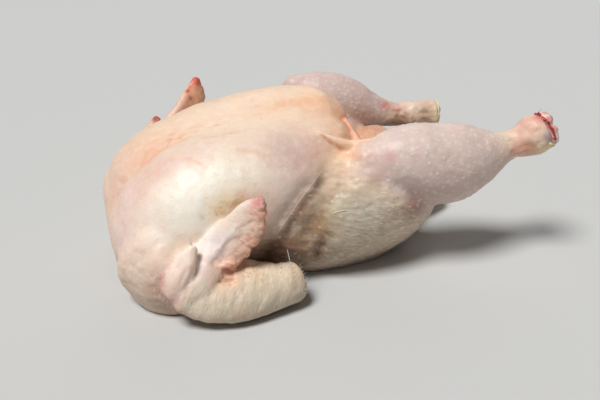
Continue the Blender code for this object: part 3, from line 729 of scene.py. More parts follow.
# Colours by limb, then soft patches and strokes over them, in landmark millimetres
tints = {
    "fine": 1.7,  # a stroke narrower than this comes and goes
    "base": "#EBCCB2",
    "low": ("#96806C", 0.55, 46),  # painted shade near the floor: its colour, its strength, and how high it reaches
    "limbs": {
        # the flank's dark brown is partly its own tone and partly painted shade
        "nearThigh": ("#DAC6AE", 0.9), "farThigh": ("#D8C6AE", 0.9), "flank": ("#9C7F62", 0.9),
        "nearDrumstick": ("#DCC6BD", 1.0), "farDrumstick": ("#D5BCB4", 1.0), "nearHock": ("#E8C6B0", 1.0),
        "farHock": ("#DBC0AA", 1.0), "nearForearm": ("#F2E2C8", 1.0), "farForearm": ("#E8D6BC", 1.0),
        "nearHand": ("#EADAD4", 1.0), "farHand": ("#F2B28E", 1.0), "nearThumb": ("#FADCCB", 1.0),
        "farThumb": ("#EDB4A0", 1.0), "tail": ("#E6C7A4", 0.8),
    },
    # soft round patches: place, radius, colour, strength
    "patches": {
        "peach along the keel": (
            ((-66, 8, 113), 44, "#F7DEC4", 0.7), ((-20, 8, 114), 34, "#F7DABF", 0.7),
            ((14, 4, 112), 26, "#F6D1B2", 0.9), ((34, 4, 98), 13, "#F0B490", 0.8),
            ((44, -2, 88), 13, "#EDB08A", 0.8), ((-30, 2, 115), 11, "#F0BC8E", 0.3),
            ((-112, 2, 100), 20, "#F0C3A2", 0.6), ((-130, -6, 88), 9, "#E9A184", 0.55),
            ((-150, 6, 68), 20, "#E2B8A4", 0.6),
        ),
        "cream on the right breast": (
            ((-100, -57, 94), 34, "#FFF8E9", 0.9), ((-66, -58, 92), 28, "#FDF3E0", 0.8),
            ((-115, -66, 72), 26, "#FFF8EB", 0.85), ((-135, -57, 66), 20, "#F3E2D2", 0.7),
        ),
        "pink and lilac between the keel and the cream": (
            ((-98, -34, 104), 16, "#E8C6B6", 0.7), ((-120, -34, 96), 14, "#E3BFB2", 0.7),
            ((-134, -32, 90), 12, "#E6B8A4", 0.6), ((-66, -40, 107), 16, "#E9CCB8", 0.6),
            ((-36, -50, 105), 18, "#D3B9AE", 0.8), ((-128, 0, 94), 14, "#E4AA8C", 0.7),
            ((-80, -74, 66), 14, "#DDBB9A", 0.6), ((-64, -76, 72), 12, "#CFAE98", 0.6),
        ),
        "pink at the neck end": (
            ((-146, -30, 80), 18, "#E6C8C0", 0.8), ((-158, -36, 50), 22, "#E6CCC4", 0.8),
            ((-150, -66, 34), 24, "#E3CDBD", 0.7), ((-150, 34, 60), 30, "#E6C4B2", 0.8),
            ((-90, 62, 90), 40, "#EFD3B6", 0.6),
        ),
        "lilac on the breast's rear": (
            ((-22, -60, 94), 20, "#CFAEA2", 0.85), ((-2, -52, 98), 12, "#CFADA2", 0.75),
            ((-40, -68, 80), 16, "#DCC8BE", 0.7), ((-54, -69, 62), 15, "#D3BFB4", 0.7),
        ),
        "tan blush above the hand": (
            ((-83, -71, 79), 9, "#E8CA9A", 0.5), ((-90, -73, 75), 8, "#EBD2A4", 0.5),
            ((-73, -71, 81), 4, "#D79A66", 0.4),
        ),
        "shaded skin under the thigh": (
            ((-55, -67, 34), 16, "#9C7458", 0.85), ((-44, -70, 28), 12, "#6E4232", 0.8),
            ((-30, -73, 58), 11, "#86684C", 0.7), ((-10, -77, 66), 11, "#CDB795", 0.7),
            ((-33, -72, 36), 7, "#BE976E", 0.6), ((-26, -74, 37), 7, "#C8AE90", 0.6),
        ),
        "golden brown rough skin, and painted shade in its deep crease": (
            # golden brown rough skin; the two dark brown patches low down, at heights 32 and 22, are painted
            # shade in the deep crease under the thigh
            ((-16, -76, 50), 9, "#A08055", 0.65), ((-17, -75, 32), 6, "#6A4A2C", 0.55),
            ((-16, -73, 22), 7, "#6A4E34", 0.5), ((-4, -75, 22), 14, "#9A8468", 0.6),
        ),
        "peach skin between keel and knee": (
            ((14, -52, 94), 15, "#F2C8A4", 0.95), ((22, -38, 92), 20, "#EDB894", 0.95),
            ((28, -14, 92), 20, "#EBB38F", 0.95), ((2, -62, 90), 12, "#F5D3B2", 0.9),
            ((-8, -68, 82), 10, "#F1D3B6", 0.8), ((14, -74, 80), 12, "#F0D8BE", 0.7),
        ),
        "grey green thigh": (
            ((6, -84, 58), 17, "#CCC9B6", 0.75), ((22, -84, 34), 20, "#B9AB92", 0.7),
        ),
        "red brown behind the thigh": (((54, -84, 56), 12, "#9C6656", 0.8),),
        "bruise on the knee": (
            ((36, -79, 97), 5, "#D79490", 0.6), ((22, -80, 92), 12, "#D9BCB8", 0.6),
            ((72, -90, 62), 20, "#BBA196", 0.6), ((100, -94, 78), 18, "#D2BBB0", 0.5),
        ),
        "yellow ankle": (
            ((126, -82, 92), 10, "#DCCDB0", 0.9), ((134, -91, 90), 7, "#D58F7A", 0.7),
            ((140, -95, 93), 5, "#CE8A68", 0.8), ((146, -92, 104), 8, "#EFC8AC", 0.7),
            ((153, -100, 100), 4.5, "#857892", 0.85), ((140, -86, 110), 8, "#E3B4A6", 0.8),
            ((149, -90, 112), 5, "#D58078", 0.6), ((153, -99, 93), 5, "#E0CE90", 0.85),
        ),
        "far leg: bruise, tan ankle": (
            ((98, 60, 86), 6, "#BE4E58", 0.8), ((103, 62, 88), 4, "#B0454C", 0.7),
            ((112, 60, 84), 9, "#DDA79A", 0.7), ((106, 57, 66), 9, "#C49A70", 0.8),
            ((92, 60, 70), 12, "#D2B8AC", 0.7), ((122, 54, 80), 7, "#E9D3C2", 0.7),
            ((134, 52, 70), 8, "#C09C80", 0.6), ((132, 50, 79), 4, "#97826E", 0.6),
            ((150, 56, 73), 9, "#EBDCAF", 0.9),
        ),
        "belly skin": (
            ((70, 46, 66), 14, "#C48C6C", 0.9), ((75, 32, 70), 16, "#C68C6A", 0.9),
        ),
        "inside the vent, painted shade deep in it, and its rim": (
            # dark red flesh inside the vent, partly painted shade, darkest at the bottom of the hollow
            ((82, 6, 46), 13, "#8A4438", 0.9), ((76, 6, 46), 8, "#4E1814", 0.9),
            ((98, -8, 50), 6, "#E2A78C", 0.6), ((96, 20, 50), 7, "#DFA284", 0.6),
        ),
        "yellow fat under the tail's skin": (
            ((118, 4, 20), 12, "#E9C48E", 0.7), ((70, -4, 60), 12, "#EFCB9A", 0.6),
            ((56, 20, 68), 22, "#E9B592", 0.8),
        ),
        "hand tips": (
            ((-66, -87, 81), 6, "#E0707A", 0.75), ((-63, -86, 86), 4, "#C93A48", 0.9),
            ((-84, 85, 98), 8, "#B5705F", 0.7), ((-66, 106, 121), 9.5, "#D40400", 1.0),
            ((-77, 90, 102), 5, "#B06450", 0.6), ((-74.5, 92, 106), 2.2, "#7A1A12", 1.0),
            ((-76.5, 95.5, 112), 2.2, "#A82218", 0.85), ((-60, 99, 107), 4, "#E4B184", 0.8),
            ((-107, 75, 99), 6, "#CE4444", 0.9), ((-110, 72, 99), 2.6, "#5E1414", 1.0),
        ),
        "shaded skin beside the wrist": (
            ((-139, -80, 30), 10, "#BC9280", 0.6), ((-137, -82, 15), 10, "#AC8674", 0.65),
        ),
        "wrist": (
            # a red flush on the wrist, deepened by painted shade in the gap between shoulder and wing
            ((-132, -88, 24), 7, "#C47C72", 0.9), ((-134, -86, 34), 5, "#B95C54", 0.7),
            ((-127, -95, 12), 7, "#C88A78", 0.8),
        ),
        "inside the elbow fold": (
            ((-94, -99, 36), 7, "#F7D2AC", 0.8), ((-112, -98, 32), 9, "#F0DFC8", 0.8),
            ((-70, -98, 30), 8, "#F3DDB2", 0.6), ((-46, -98, 24), 9, "#E8C49A", 0.6),
            ((-40, -98, 12), 8, "#CDBCA2", 0.6),
        ),
        # painted shade: grey blue on the middle of the hand
        "painted grey blue shade on the hand": (((-96, -88, 56), 9, "#D5CBD3", 0.6),),
        "pin of blood on the pleat, brown speck above the hand": (
            ((28, -34, 95), 1.6, "#6E1410", 1.0), ((-102, -71, 71), 1.3, "#7C6232", 0.85),
        ),
    },
    # path or the name of a fold, width, colour, strength
    "strokes": (
        ("keelWrinkleOne", 1.4, "#E39A74", 0.42),
        ("keelWrinkleTwo", 1.1, "#E8A684", 0.38),
        ("keelWrinkleThree", 1.6, "#E29A7C", 0.4),
        ("keelWrinkleFour", 1.0, "#E3A482", 0.35),
        (((-122, 8, 96), (-116, -2, 98), (-106, 4, 103), (-98, -4, 106)), 0.9, "#D98C6C", 0.5),
        (((-110, 14, 103), (-100, 6, 106), (-90, 8, 110), (-80, 2, 112)), 0.9, "#DC946E", 0.45),
        (
            ((150, -86, 114), (152, -91, 112.5), (155, -96.5, 108), (158, -99.5, 102.5), (159.5, -99.5, 97)),
            2.6, "#B9504C", 0.75,
        ),
        (((-112, 73, 88), (-98, 79, 97), (-86, 84, 105), (-79, 90, 111)), 1.8, "#F0D4C8", 0.8),
        (((-72, 100, 117), (-75, 97, 113), (-77, 95, 110.5), (-79, 92, 108)), 1.1, "#B3281C", 0.8),
        (((-26, 8, 116), (-8, 8, 116), (10, 8, 114), (24, 8, 110)), 5, "#F0AC7E", 0.45),
        (((-6, -4, 114), (10, -6, 112), (24, -8, 107)), 4, "#F2B48A", 0.4),
        (((-92, -20, 108), (-76, -24, 110), (-58, -22, 112)), 2.0, "#EDB898", 0.5),
        (((-118, -30, 97), (-104, -38, 98), (-92, -50, 96)), 1.8, "#EBB49C", 0.5),
        (((-70, -44, 104), (-56, -50, 102), (-44, -54, 98)), 2.2, "#E2B69C", 0.5),
        (((-98, -71, 78), (-89, -73, 76), (-80, -74, 77), (-72, -72, 80)), 1.0, "#C99258", 0.5),
        (((-88, -72, 78), (-80, -73, 76), (-72, -72, 78)), 0.9, "#C48A58", 0.4),
        (((-90, -71, 81), (-82, -73, 79), (-74, -72, 80)), 0.9, "#CD9A66", 0.45),
        (((-94, -72, 73), (-86, -75, 72), (-79, -76, 74)), 0.8, "#C98F60", 0.45),
        (
            ((-10, -34, 107), (-1, -43, 106), (7, -48, 103), (16, -50, 101), (27, -55, 102), (41, -63, 105)),
            2.6, "#F6D3B6", 0.9,
        ),
        # painted shadow under the near pleat
        (((-4, -41, 106), (2, -47, 101.5), (7, -50.5, 98), (13, -53, 94.5)), 1.5, "#B4643F", 0.7),
        (((10, -56, 93), (18, -60, 90), (26, -66, 91)), 2.0, "#E5A682", 0.5),
        (((36, 16, 98), (33, -2, 101), (29, -16, 102), (28, -28, 100), (29, -40, 96)), 3, "#F4B896", 0.85),
        # painted shadow line in front of the pleat behind the keel
        (((32, 10, 99), (27, -6, 101), (23, -20, 100), (24, -32, 96)), 1.8, "#D8744E", 0.7),
        (((40, 12, 96), (37, -4, 97), (34, -20, 95), (34, -34, 92)), 2.2, "#E3966C", 0.6),
        ("flankThread", 1.3, "#EFD9C8", 0.7),
        # painted shade down the flank's valley
        (
            ((-8, -66, 84), (-21, -71, 74), (-31, -73, 65), (-39, -73, 54), (-47, -66, 34)),
            3.6, "#7E5C44", 0.8,
        ),
        # brown on the ridge beside the valley: partly the rough golden brown skin, partly painted shade
        (((2, -70, 81), (-8, -75, 71), (-17, -77, 60), (-22, -77, 48)), 2.2, "#9A7C58", 0.5),
        # painted shade in the deep crease under the thigh
        (((-14, -76, 44), (-18, -75, 34), (-20, -73, 24), (-20, -70, 14)), 2.6, "#745030", 0.45),
        ("flankThreadTwo", 1.0, "#F0DCCB", 0.6),
        # painted shadow along the underside of the far drumstick
        (((92, 60, 66), (104, 57, 63), (116, 54, 62), (128, 52, 62)), 3.5, "#7E5836", 0.75),
        (((106, 56, 76), (114, 53, 72), (124, 51, 74)), 1.3, "#8F6544", 0.7),
        (((112, 56, 81), (118, 52, 77), (128, 50, 78), (138, 49, 76)), 1.0, "#9A7050", 0.6),
        (((120, 50, 69), (130, 48, 71), (140, 48, 69)), 1.2, "#87603F", 0.7),
        (((104, 58, 83), (112, 55, 80)), 1.2, "#A65048", 0.6),
        ("tailCrease", 2.2, "#C68F6C", 0.6),
        ("tailCreaseTwo", 2.2, "#C68F6C", 0.6),
        # orange skin in the elbow's folds, darkened by painted shade
        ("elbowFold", 1.5, "#C9603A", 0.95),
        ("elbowFoldTwo", 1.2, "#B9683C", 0.85),
        (((-104, -91, 46), (-97, -94, 45), (-90, -95, 45), (-84, -93, 47)), 1.8, "#EDA27E", 0.4),
        # painted shade in the crease beside the thumb
        ("thumbCrease", 1.2, "#C98A70", 0.6),
        # painted shade: grey blue along a groove of the hand
        ("handCordTwo", 2.2, "#CBC4D0", 0.35),
        # painted highlight along the raised cord of the hand
        ("handCord", 1.6, "#FFF6F0", 0.5),
        (((-134, -88, 16), (-137, -84, 28), (-134, -83, 40)), 2.6, "#CE827A", 0.45),
    ),
    # the trailing edge of each hand: width, colour, strength
    "edges": ((14, "#EEBF9F", 0.85), (5, "#E49872", 0.62), (1.6, "#C24A38", 0.7)),
}


def painted(places):
    colours = np.tile(linear(tints["base"]), (len(places), 1))

    def blend(colour, weight):
        colours[:] = colours + (np.array(linear(colour)) - colours) * weight[:, None]

    def stroke(line, width, colour, strength):
        near, away, along = nearLine(places, line, 3 * width)
        weight = np.zeros(len(places))
        ends = smoothStep(0, 0.12, np.minimum(along, 1 - along) + 0.02)
        weight[near] = strength * np.exp(-(away / width) ** 2) * ends
        if width < tints["fine"]:
            weight[near] *= smoothStep(-0.7, 0.25, noise(places[near], (5, 5, 5), 19))
        blend(colour, weight)

    for limb, (colour, strength) in tints["limbs"].items():
        blend(colour, strength * zones[limb])
    for rows in tints["patches"].values():
        for centre, radius, colour, strength in rows:
            away = np.linalg.norm(places - np.array(centre, float), axis=1) / radius
            blend(colour, strength * np.exp(-away ** 2))
    # painted shade: the skin darkens towards the floor
    colour, strength, height = tints["low"]
    blend(colour, strength * (1 - smoothStep(0, height, places[:, 2])))
    for path, width, colour, strength in tints["strokes"]:
        stroke(onSkin(tree, folds[path][0] if path in folds else path), width, colour, strength)
    for side in (nearSide, farSide):
        for width, colour, strength in tints["edges"]:
            stroke(trailingEdge(side)[10:], width, colour, strength)
    for path in webCreases["paths"]:
        stroke(onSkin(tree, path), webCreases["width"], webCreases["tint"], webCreases["strength"])
    return colours


def webOf(places):
    # the thin crinkled skin along the trailing edge of each hand
    web = np.zeros(len(places))
    for side, hand in ((nearSide, "nearHand"), (farSide, "farHand")):
        near, away, along = nearLine(places, trailingEdge(side), 20)
        share = (1 - smoothStep(*zoneLimits["web"], away)) * zones[hand][near]
        web[near] = np.maximum(web[near], share)
    return web


# Stubs of hair along the top of the near forearm and round its end, as coarse as they need to be to show
bristles = {
    "line": (
        (-40, -98, 14), (-38, -97, 22), (-44, -94, 28), (-56, -95, 31), (-68, -96, 32), (-78, -97, 32),
    ),
    "reach": 9,
    "Zone": "bristles", "Spacing": 2.2, "Length": 2.5, "Width": 0.14, "Lean": (0.2, 0, 0.6), "Seed": 11,
}


def bristly(places):
    near, away, along = nearLine(places, np.array(bristles["line"], float), bristles["reach"])
    weight = np.zeros(len(places))
    weight[near] = np.clip(1.4 * np.exp(-(away / bristles["reach"] * 2.2) ** 2), 0, 1)
    return weight


def storeValues(mesh, name, values, kind="FLOAT"):
    layer = mesh.attributes.new(name, kind, "POINT")
    field = "color" if kind == "FLOAT_COLOR" else "value"
    layer.data.foreach_set(field, np.asarray(values, np.float32).ravel())


def newMaterial(name, settings):
    # a Principled material with constants on its sockets
    material = bpy.data.materials.new(name)
    material.use_nodes = True
    shader = material.node_tree.nodes["Principled BSDF"]
    for socket, value in settings.items():
        shader.inputs[socket].default_value = value
    return material, material.node_tree, shader


def coloured(tree, shader, colour, height, strength, rise):
    # a colour and a bump, its rise in millimetres, led to the shader
    tree.links.new(colour, shader.inputs["Base Color"])
    raised = {"Height": height, "Strength": strength, "Distance": rise * millimetre}
    tree.links.new(addNode(tree, "ShaderNodeBump", raised)["Normal"], shader.inputs["Normal"])


def skinMaterial(name, scatter):
    # raw chicken skin, plucked and wet: light spreads under it, follicles stand up and a thin film shines
    look = skinFinish
    light = {"Subsurface Weight": scatter, "Subsurface Scale": look["scatterDepth"] * millimetre}
    material, tree, shader = newMaterial(name, {**look["shader"], **light})
    place = addNode(tree, "ShaderNodeTexCoord")["Object"]
    marks = {}
    for name in ("dots", "down", "rows", "web", "crest"):
        marks[name] = addNode(tree, "ShaderNodeAttribute", attribute_name=name)["Fac"]
    patterns = {}
    for name, (along, across, slope, detail) in look["patterns"].items():
        turn = {"Vector": place, "Rotation": (0, math.radians(-slope), 0)}
        turnedPlace = addNode(tree, "ShaderNodeMapping", turn)["Vector"]
        scale = [1 / (size * millimetre) for size in (along, across, across)]
        squeezed = addNode(tree, "ShaderNodeMapping", {"Vector": turnedPlace, "Scale": scale})["Vector"]
        noiseInputs = {"Vector": squeezed, "Scale": 1.0, "Detail": detail}
        patterns[name] = addNode(tree, "ShaderNodeTexNoise", noiseInputs)["Fac"]

    soft = {"interpolation_type": "SMOOTHSTEP"}
    times = {"operation": "MULTIPLY"}
    added = {"operation": "MULTIPLY_ADD"}
    colour = addNode(tree, "ShaderNodeAttribute", attribute_name="tint")["Color"]
    for name, start, full, zone, share, tint in look["layers"]:
        spread = {"Value": patterns[name], "From Min": start, "From Max": full, "To Max": share}
        amount = addNode(tree, "ShaderNodeMapRange", spread, **soft)["Result"]
        if zone:
            amount = addNode(tree, "ShaderNodeMath", {0: amount, 1: marks[zone]}, **times)[0]
        mix = {0: amount, 6: colour, 7: linear(tint)}
        colour = addNode(tree, "ShaderNodeMix", mix, data_type="RGBA")[2]
    spacing, edge, full = look["spots"]
    cells = {"Vector": place, "Scale": 1 / (spacing * millimetre), "Randomness": 0.9}
    spot = addNode(tree, "ShaderNodeTexVoronoi", cells)["Distance"]
    spread = {"Value": spot, "From Min": edge, "From Max": full, "To Max": look["spotShare"]}
    spot = addNode(tree, "ShaderNodeMapRange", spread, **soft)["Result"]
    dotted = {0: marks["dots"], 1: look["spotsElsewhere"]}
    dotted = addNode(tree, "ShaderNodeMath", dotted, operation="MAXIMUM")[0]
    spot = addNode(tree, "ShaderNodeMath", {0: spot, 1: dotted}, **times)[0]
    crest = {0: marks["crest"], 1: look["crestShare"], 2: spot}
    crest = addNode(tree, "ShaderNodeMath", crest, **added)[0]
    streaky = {"Value": marks["down"], "From Max": 1.0, "To Min": 1.0, "To Max": look["crestOnDown"]}
    kept = addNode(tree, "ShaderNodeMapRange", streaky)["Result"]
    pale = addNode(tree, "ShaderNodeMath", {0: crest, 1: kept}, **times)[0]
    mix = {0: pale, 6: colour, 7: linear(look["crestTint"])}
    colour = addNode(tree, "ShaderNodeMix", mix, data_type="RGBA")[2]

    spacing, edge, full, share = look["pores"]
    cells = {"Vector": place, "Scale": 1 / (spacing * millimetre)}
    pores = addNode(tree, "ShaderNodeTexVoronoi", cells)["Distance"]
    dents = {"Value": pores, "From Min": edge, "From Max": full, "To Max": share}
    height = addNode(tree, "ShaderNodeMapRange", dents, **soft)["Result"]
    for name, zone, share in look["bumps"]:
        amount = patterns[name]
        if zone:
            amount = addNode(tree, "ShaderNodeMath", {0: amount, 1: marks[zone]}, **times)[0]
        height = addNode(tree, "ShaderNodeMath", {0: amount, 1: share, 2: height}, **added)[0]
    coloured(tree, shader, colour, height, *look["bump"])
    film = {0: patterns["grain"], 1: look["film"][0], 2: look["film"][1]}
    roughness = addNode(tree, "ShaderNodeMath", film, **added)[0]
    tree.links.new(roughness, shader.inputs["Roughness"])
    return material


def finished(name, mesh, material=None):
    # a piece of the bird: it rides on the body and stands where its mesh is
    if material:
        mesh.materials.append(material)
    putPlaces(mesh, np.clip(placesOf(mesh), cadLow, cadHigh))  # a bump on the widest skin stays in the box
    mesh.shade_smooth()
    piece = placed(name, mesh)
    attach(piece, "root")
    return piece


storeValues(skinMesh, "tint", painted(places), "FLOAT_COLOR")
lowOnThigh = 1 - smoothStep(*zoneLimits["lowThigh"], places[:, 2])
dense = zoneLimits["denseDown"]
downShare = smoothStep(*dense["fade"], places[:, 0] - dense["slope"] * (places[:, 2] - dense["z"]))
downShare = dense["least"] + (1 - dense["least"]) * downShare
offElbow = smoothStep(*zoneLimits["elbow"][1], awayFrom(places, "elbow"))
offKnee = smoothStep(*zoneLimits["knee"][1], awayFrom(places, "knee"))
dots = bothSides("Drumstick") * offKnee + skinFinish["dots"]["thigh"] * bothSides("Thigh") * lowOnThigh
for zone in ("tail", "shoulder"):
    dots += skinFinish["dots"][zone] * zones[zone]
storeValues(skinMesh, "dots", dots)
storeValues(skinMesh, "down", bothSides("Thigh") * (1 - zones["flank"]) * downShare * lowOnThigh)
storeValues(skinMesh, "rows", bothSides("Forearm") * offElbow)
storeValues(skinMesh, "web", webOf(places))
storeValues(skinMesh, "bristles", bristly(places))
putPlaces(skinMesh, (places - middle) * landmark)
skin = finished("chicken_skin", skinMesh, skinMaterial("raw chicken skin", 0.22))
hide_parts("chicken")

# Follicles, down and ridges: the zone they keep to, then their spacing and size on this bird in millimetres
bumps = {
    "follicle_domes": {
        "Zone": "dots", "Spacing": 4.6, "Length": 1.7, "Width": 1.5, "Height": 0.34,
        "Direction": (1, 0, -0.2), "Seed": 3,
    },
    "thigh_down": {
        "Zone": "down", "Spacing": 3.1, "Length": 2.6, "Width": 0.8, "Height": 0.36,
        "Direction": (1, 0, -0.25), "Seed": 4,
    },
    "wing_ridges": {
        "Zone": "rows", "Spacing": 2.7, "Length": 4.2, "Width": 0.9, "Height": 0.2,
        "Direction": (0.42, 0, 0.9), "Seed": 5,
    },
}


def newTree(name, kinds):
    # a tree that grows copies on the skin: the inputs all such trees have, its own ones, and one output
    tree = bpy.data.node_groups.new(name, "GeometryNodeTree")
    tree.is_modifier = True
    common = (
        ("Skin", "Geometry"), ("Zone", "String"), ("Spacing", "Float"), ("Length", "Float"),
        ("Width", "Float"), ("Seed", "Int"), ("Finish", "Material"),
    )
    for socket, kind in common + kinds:
        tree.interface.new_socket(socket, in_out="INPUT", socket_type="NodeSocket" + kind)
    tree.interface.new_socket("Result", in_out="OUTPUT", socket_type="NodeSocketGeometry")
    return tree, addNode(tree, "NodeGroupInput")


def strewn(tree, given):
    # spots in a zone of the skin, no closer than the spacing
    zone = addNode(tree, "GeometryNodeInputNamedAttribute", {"Name": given["Zone"]})["Attribute"]
    area = addNode(tree, "ShaderNodeMath", {0: given["Spacing"], 1: 2.0}, operation="POWER")[0]
    crowd = addNode(tree, "ShaderNodeMath", {0: 2.5, 1: area}, operation="DIVIDE")[0]
    spread = {
        "Mesh": given["Skin"], "Distance Min": given["Spacing"], "Density Max": crowd,
        "Density Factor": zone, "Seed": given["Seed"],
    }
    return addNode(tree, "GeometryNodeDistributePointsOnFaces", spread, distribute_method="POISSON")


def copied(tree, points, piece, turn, size):
    # real copies of a piece, one on each point
    copies = {"Points": points, "Instance": piece, "Rotation": turn, "Scale": size}
    instances = addNode(tree, "GeometryNodeInstanceOnPoints", copies)["Instances"]
    return addNode(tree, "GeometryNodeRealizeInstances", {"Geometry": instances})["Geometry"]


def coated(tree, geometry, finish):
    result = addNode(tree, "GeometryNodeSetMaterial", {"Geometry": geometry, "Material": finish})
    addNode(tree, "NodeGroupOutput", {"Result": result["Geometry"]})


# A bump: its spread of sizes, the sharpness of its crest, and how deep its edge and its foot lie
bumpShape = {"vary": (0.65, 1.25), "sharp": 4.0, "edge": 0.15, "sink": 0.35}


def bumpTree():
    # low closed bumps over a zone of the skin, each laid on it with its edge just under the surface
    least, most = bumpShape["vary"]
    tree, given = newTree("bumps on skin", (("Height", "Float"), ("Direction", "Vector")))
    spots = strewn(tree, given)
    vary = addNode(tree, "FunctionNodeRandomValue", {2: least, 3: most, "Seed": given["Seed"]})[1]
    rise = addNode(tree, "ShaderNodeMath", {0: given["Height"], 1: vary}, operation="MULTIPLY")[0]
    risen = {"Geometry": spots["Points"], "Name": "rise", "Value": rise}
    points = addNode(tree, "GeometryNodeStoreNamedAttribute", risen)["Geometry"]

    # a unit ball: its upper half gives the crest, its lower half sinks under the skin
    shape = {"Segments": 6, "Rings": 4, "Radius": 1.0}
    bump = addNode(tree, "GeometryNodeMeshUVSphere", shape)["Mesh"]
    place = addNode(tree, "GeometryNodeInputPosition")["Position"]
    high = addNode(tree, "ShaderNodeSeparateXYZ", {"Vector": place})["Z"]
    above = addNode(tree, "ShaderNodeMath", {0: high, 1: 0.0}, operation="MAXIMUM")[0]
    crest = addNode(tree, "ShaderNodeMath", {0: above, 1: bumpShape["sharp"]}, operation="POWER")[0]
    below = addNode(tree, "ShaderNodeMath", {0: high, 1: 0.0}, operation="MINIMUM")[0]
    sunk = addNode(tree, "ShaderNodeMath", {0: below, 1: bumpShape["edge"]}, operation="SUBTRACT")[0]
    for name, value in (("crest", crest), ("sunk", sunk)):
        stored = {"Geometry": bump, "Name": name, "Value": value}
        bump = addNode(tree, "GeometryNodeStoreNamedAttribute", stored)["Geometry"]

    lie = {"Rotation": spots["Rotation"], "Vector": given["Direction"]}
    turn = addNode(tree, "FunctionNodeAlignRotationToVector", lie, axis="X", pivot_axis="Z")
    sizes = {"X": given["Length"], "Y": given["Width"], "Z": 0.1 * millimetre}
    size = addNode(tree, "ShaderNodeCombineXYZ", sizes)["Vector"]
    varied = addNode(tree, "ShaderNodeVectorMath", {0: size, "Scale": vary}, operation="SCALE")[0]
    real = copied(tree, points, bump, turn["Rotation"], varied)

    # lay every point on the nearest skin, then lift it by its crest or sink it
    normal = addNode(tree, "GeometryNodeInputNormal")["Normal"]
    smoothNormal = addNode(tree, "GeometryNodeFieldOnDomain", {0: normal}, data_type="FLOAT_VECTOR")[0]
    found = []
    for value in (place, smoothNormal):
        sample = {"Mesh": given["Skin"], "Value": value}
        node = addNode(tree, "GeometryNodeSampleNearestSurface", sample, data_type="FLOAT_VECTOR")
        found.append(node["Value"])
    stored = {}
    for name in ("crest", "rise", "sunk"):
        stored[name] = addNode(tree, "GeometryNodeInputNamedAttribute", {"Name": name})["Attribute"]
    depth = {0: stored["sunk"], 1: bumpShape["sink"] * millimetre}
    sink = addNode(tree, "ShaderNodeMath", depth, operation="MULTIPLY")[0]
    lifts = {0: stored["crest"], 1: stored["rise"], 2: sink}
    lift = addNode(tree, "ShaderNodeMath", lifts, operation="MULTIPLY_ADD")[0]
    off = addNode(tree, "ShaderNodeVectorMath", {0: found[1], "Scale": lift}, operation="SCALE")[0]
    onSurface = addNode(tree, "ShaderNodeVectorMath", {0: found[0], 1: off}, operation="ADD")[0]
    laid = addNode(tree, "GeometryNodeSetPosition", {"Geometry": real, "Position": onSurface})
    coated(tree, laid["Geometry"], given["Finish"])
    return tree


def bristleTree():
    # fine stubs of hair standing in a zone of the skin, rooted under it
    tree, given = newTree("bristles in skin", (("Lean", "Vector"),))
    spots = strewn(tree, given)
    anyWay = {0: (-0.5, -0.5, -0.5), 1: (0.5, 0.5, 0.5)}
    jitter = addNode(tree, "FunctionNodeRandomValue", anyWay, data_type="FLOAT_VECTOR")[0]
    aim = spots["Normal"]
    for push in (given["Lean"], jitter):
        aim = addNode(tree, "ShaderNodeVectorMath", {0: aim, 1: push}, operation="ADD")["Vector"]
    turn = addNode(tree, "FunctionNodeAlignRotationToVector", {"Vector": aim}, axis="Z")["Rotation"]
    vary = addNode(tree, "FunctionNodeRandomValue", {2: 0.5, 3: 1.4, "Seed": given["Seed"]})[1]
    long = addNode(tree, "ShaderNodeMath", {0: given["Length"], 1: vary}, operation="MULTIPLY")[0]
    sizes = {"X": given["Width"], "Y": given["Width"], "Z": long}
    size = addNode(tree, "ShaderNodeCombineXYZ", sizes)["Vector"]
    cone = {"Vertices": 5, "Side Segments": 2, "Radius Top": 0.3, "Radius Bottom": 1.0, "Depth": 1.0}
    stub = addNode(tree, "GeometryNodeMeshCone", cone)["Mesh"]
    coated(tree, copied(tree, spots["Points"], stub, turn, size), given["Finish"])
    return tree


def grown(name, tree, row, material):
    # what a tree grows on the skin, as a plain mesh of its own
    carrier = placed(name, skinMesh.copy())
    modifier = carrier.modifiers.new("Grow", "NODES")
    modifier.node_group = tree
    values = {key: value * millimetre if isinstance(value, float) else value for key, value in row.items()}
    values["Finish"] = material
    for socket in tree.interface.items_tree:
        if socket.name in values:
            modifier[socket.identifier] = values[socket.name]
    mesh = applied(carrier)
    spots = placesOf(mesh)
    spots[:, 2] = np.maximum(spots[:, 2], 0.0)
    putPlaces(mesh, spots)
    print(name, "has", len(mesh.polygons), "faces")
    return finished(name, mesh)


print("follicles, down and ridges")
bumpNodes = bumpTree()
bumpFinish = skinMaterial("skin over follicles", 0.0)  # too small for light to spread in
for name, row in bumps.items():
    grown(name, bumpNodes, row, bumpFinish)

# Wet stuff under the skin: two colours, lump size in millimetres, roughness, how far light spreads, bump
wetStuff = {
    "cartilage": ("#F1DAD0", "#D98F86", 5.0, 0.28, 0.35, 0.25),
    "clotted blood": ("#C04A46", "#861F20", 1.5, 0.24, 0.12, 0.5),
    "marrow": ("#D69C8C", "#B8705F", 1.5, 0.34, 0.2, 0.4),
    "yellow skin edge": ("#EDE1BE", "#D6C28A", 3.0, 0.4, 0.3, 0.3),
    "hair": ("#F6F0E4", "#E6D8C2", 4.0, 0.45, 0.2, 0.0),
}
# what all of it shares: where the dark colour starts and is full, detail, and height of its bump
wetPattern = {"start": 0.38, "full": 0.66, "detail": 4.0, "rise": 0.5}
wetShader = {
    "IOR": 1.4, "Subsurface Radius": (1.0, 0.4, 0.25), "Subsurface Scale": 2.5 * millimetre,
    "Coat Weight": 0.15, "Coat Roughness": 0.2,
}


